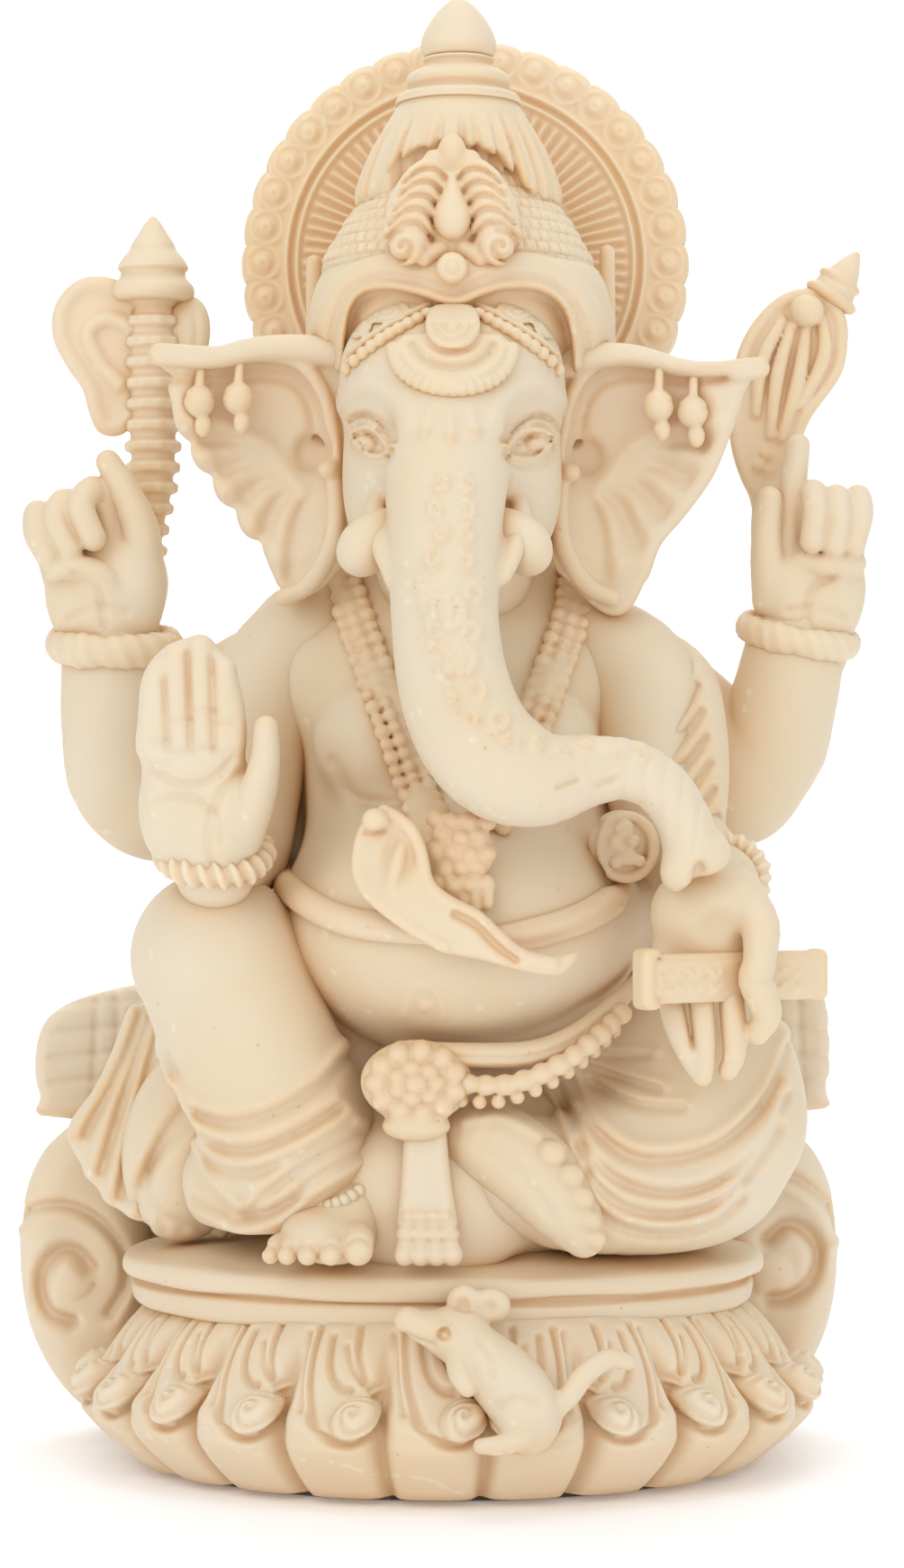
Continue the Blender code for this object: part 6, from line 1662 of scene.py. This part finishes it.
def feet():
    clay = Clay()
    clay.add(limb([(-10.6, -17, 45.0, 5.0), (-11.0, -21.0, 40.4, 5.0), (-12.8, -25.6, 36.6, 4.8)]))
    clay.add(ball((-15.6, -28.6, 34.6), (6.0, 6.6, 3.6), (12, 6, 12)), 2.0)
    toes = [(-11.6, -31.6, 34.4, 2.1, -11.4, -35.4, 33.2, 1.9),
            (-14.6, -32.2, 34.2, 1.6, -14.9, -35.8, 32.8, 1.45),
            (-17.2, -31.6, 34.0, 1.5, -17.9, -34.9, 32.6, 1.35),
            (-19.5, -30.6, 33.8, 1.4, -20.6, -33.6, 32.4, 1.25),
            (-21.4, -29.2, 33.6, 1.3, -22.8, -32.0, 32.2, 1.15)]
    for x0, y0, z0, r0, x1, y1, z1, r1 in toes:
        clay.add(limb([(x0, y0, z0, r0), ((x0 + x1) / 2, (y0 + y1) / 2, (z0 + z1) / 2 + 0.4, r0),
                       (x1, y1, z1, r1)]), 0.45)
        clay.mark(stroke(arc((x1, z1 + 0.5), r1 * 0.7, 20, 160, 10), 0.25, -0.28, y=(-99, -29)))
    model("right_foot_visual", clay, ["right_foot"], SKIN, cell=0.8,
          extent=((-28, -42, 28), (-3, -10, 52)))

    rows = []
    for k in range(15):
        t = k / 14
        x = -20.0 + 13.2 * t
        z = 37.6 + 6.4 * t - 1.8 * math.sin(math.pi * t)
        y = -24.6 - 6.0 * math.sin(math.pi * min(1, t * 1.05)) + 2.0 * t
        rows.append((x, y, z, 0.95))
        rows.append((x + 0.3, y + 0.1, z - 1.5, 0.6))
    verts, faces = string_of_beads(rows)
    new_piece("right_anklet_visual", verts, faces, ["right_anklet"], ORNAMENT)

    clay = Clay()
    clay.add(limb([(1.0, -26.0, 47.0, 4.4), (6.4, -28.6, 46.0, 5.4), (11.4, -30.4, 42.6, 5.6),
                   (15.0, -31.4, 38.4, 4.6),
                   (17.6, -31.6, 34.6, 2.8)], (1, 0.7)))
    toes = [(13.4, -33.4, 45.4, 1.8), (15.8, -33.8, 42.6, 1.6), (17.2, -33.8, 39.8, 1.5),
            (18.2, -33.4, 37.0, 1.4),
            (19.0, -32.8, 34.4, 1.3)]
    for x, y, z, r in toes:
        clay.add(ball((x, y, z), (r * 1.1, r, r * 1.05)), 0.4)
    clay.mark(stroke(curve([(4.4, 46.8), (9.4, 43.0), (13.6, 37.6)], 6), 0.8, -0.4, y=(-99, -28)),
              stroke(curve([(2.0, 49.4), (7.0, 50.2), (12.0, 47.8)], 6), 0.7, 0.5, y=(-99, -25)))
    model("left_foot_visual", clay, ["left_foot"], SKIN, cell=0.8,
          extent=((-5, -40, 27), (25, -18, 55)))


def mouse():
    """A mouse climbing the petals, its tail laid over the next one."""
    clay = Clay()
    clay.add(ball((0.8, -37.0, 23.0), (4.2, 3.6, 3.4)))
    clay.add(ball((-3.2, -38.6, 24.0), (2.6, 2.2, 2.0), (0, 14, 0)), 1.6)
    clay.add(ball((-5.0, -39.0, 24.8), (1.8, 1.7, 1.8)), 0.6)
    for x, z, wide in ((2.2, 26.6, 2.3), (5.6, 26.2, 2.5)):
        clay.add(ball((x, -35.4, z), (wide, 1.4, 2.3)), 0.5)
        clay.cut(ball((x - 0.2, -37.4, z - 0.1), (wide * 0.5, 1.2, 1.3)), 0.5)
    clay.add(limb([(2.6, -37.6, 21.4, 3.4), (5.0, -38.6, 19.4, 4.0), (8.0, -39.8, 16.6, 4.5),
                   (10.2, -40.4, 13.6, 4.4),
                   (10.4, -40.4, 11.4, 3.4)]), 1.4)
    clay.add(limb([(1.4, -39.4, 20.4, 1.7), (1.6, -41.4, 18.4, 1.5), (2.6, -42.2, 16.8, 1.2)]), 0.6)
    clay.add(ball((9.2, -42.4, 13.0), (2.9, 2.4, 3.2), (0, 20, 0)), 0.8)
    clay.add(limb([(9.4, -43.2, 10.6, 1.5), (6.6, -44.0, 9.9, 1.3), (4.2, -44.2, 9.8, 1.0)]), 0.5)
    clay.add(limb([(13.0, -41.0, 13.6, 1.5), (15.4, -41.2, 15.6, 1.4), (17.4, -40.6, 18.2, 1.4),
                   (20.4, -39.2, 20.0, 1.3),
                   (23.0, -38.0, 19.4, 1.1)], (1, 0.8)), 0.6)
    clay.mark(dots([(-0.4, 23.3)], 0.95, -0.8, y=(-99, -37)), dots([(-0.4, 23.2)], 0.55, 0.7, y=(-99, -36)),
              stroke(arc((-0.4, 23.3), 1.2, 20, 200, 12), 0.35, 0.4, y=(-99, -36)),
              stroke(curve([(-5.6, 23.4), (-3.6, 22.6), (-1.6, 21.8)], 5), 0.3, -0.35, y=(-99, -36)),
              stroke(curve([(4.0, 22.6), (5.6, 20.6), (5.6, 18.4)], 5), 0.5, -0.3, y=(-99, -38)),
              stroke(curve([(6.4, 14.8), (8.8, 16.0), (11.4, 15.4)], 5), 0.5, -0.4, y=(-99, -38)))
    model("mouse_visual", clay, ["mouse"], MOUSE, cell=0.7, extent=((-9, -47, 4), (28, -28, 34)))


# ---------------------------------------------------------------- studio

def studio():
    scene = bpy.context.scene
    scene.view_settings.view_transform = "Standard"
    world = bpy.data.worlds.new("studio")
    world.use_nodes = True
    world.node_tree.nodes["Background"].inputs["Color"].default_value = (1.0, 0.995, 0.985, 1)
    world.node_tree.nodes["Background"].inputs["Strength"].default_value = 0.55
    scene.world = world

    mesh = bpy.data.meshes.new("floor")
    rows = [(-1.6, 0.0), (0.45, 0.0)]
    rows += [(0.45 + 0.35 * math.sin(a), 0.35 * (1 - math.cos(a))) for a in np.linspace(0.1, math.pi / 2, 14)]
    rows.append((0.80, 2.2))
    verts = [(x, y, z) for y, z in rows for x in (-2.2, 2.2)]
    faces = [(2 * k, 2 * k + 1, 2 * k + 3, 2 * k + 2) for k in range(len(rows) - 1)]
    mesh.from_pydata(verts, [], faces)
    mesh.shade_smooth()
    floor = bpy.data.objects.new("floor", mesh)
    scene.collection.objects.link(floor)
    paper = bpy.data.materials.new("pale_paper")
    paper.use_nodes = True
    shader = paper.node_tree.nodes["Principled BSDF"]
    shader.inputs["Base Color"].default_value = (0.96, 0.965, 0.985, 1)
    shader.inputs["Roughness"].default_value = 0.9
    shader.inputs["Emission Color"].default_value = (1, 1, 1, 1)
    shader.inputs["Emission Strength"].default_value = 0.12
    mesh.materials.append(paper)

    middle = Vector(PLACE) + Vector((0, 0, 0.1))
    for name, place, size, power, colour in (
        ("key", (-0.55, -0.75, 0.62), 0.75, 3.3, (1.0, 0.985, 0.96)),
        ("front", (0.12, -1.15, 0.10), 1.0, 2.4, (1.0, 0.99, 0.98)),
        ("fill", (0.75, -0.70, 0.35), 0.9, 1.6, (0.98, 0.99, 1.0)),
        ("top", (0.05, -0.05, 0.95), 0.8, 2.6, (1.0, 1.0, 1.0)),
        ("back", (0.0, 0.62, 0.55), 0.8, 1.6, (1.0, 1.0, 1.0)),
    ):
        light = bpy.data.lights.new(name, "AREA")
        light.size = size
        light.energy = power
        light.color = colour
        lamp = bpy.data.objects.new(name, light)
        lamp.location = middle + Vector(place)
        lamp.rotation_euler = (middle - lamp.location).to_track_quat("-Z", "Y").to_euler()
        scene.collection.objects.link(lamp)

    lens = bpy.data.cameras.new("camera")
    lens.sensor_width = 36
    lens.lens = 83.3
    camera = bpy.data.objects.new("camera", lens)
    camera.location = Vector(PLACE) + Vector((0.6, -500, 93)) * MM
    camera.rotation_euler = (math.pi / 2, 0, 0)
    scene.collection.objects.link(camera)
    scene.camera = camera


felt_pad()
lotus_base()
seat_slab()
throne()
halo()
crown()
crest()
FACE = head()
ears()
tusks_and_pendants()
forehead_jewel(FACE)
BODY = torso()
rear_arms()
front_arms()
hands()
bangles()
attributes()
necklace(BODY)
snake(BODY)
waist()
shoulder_sash()
legs()
dhoti_fan()
feet()
mouse()
studio()
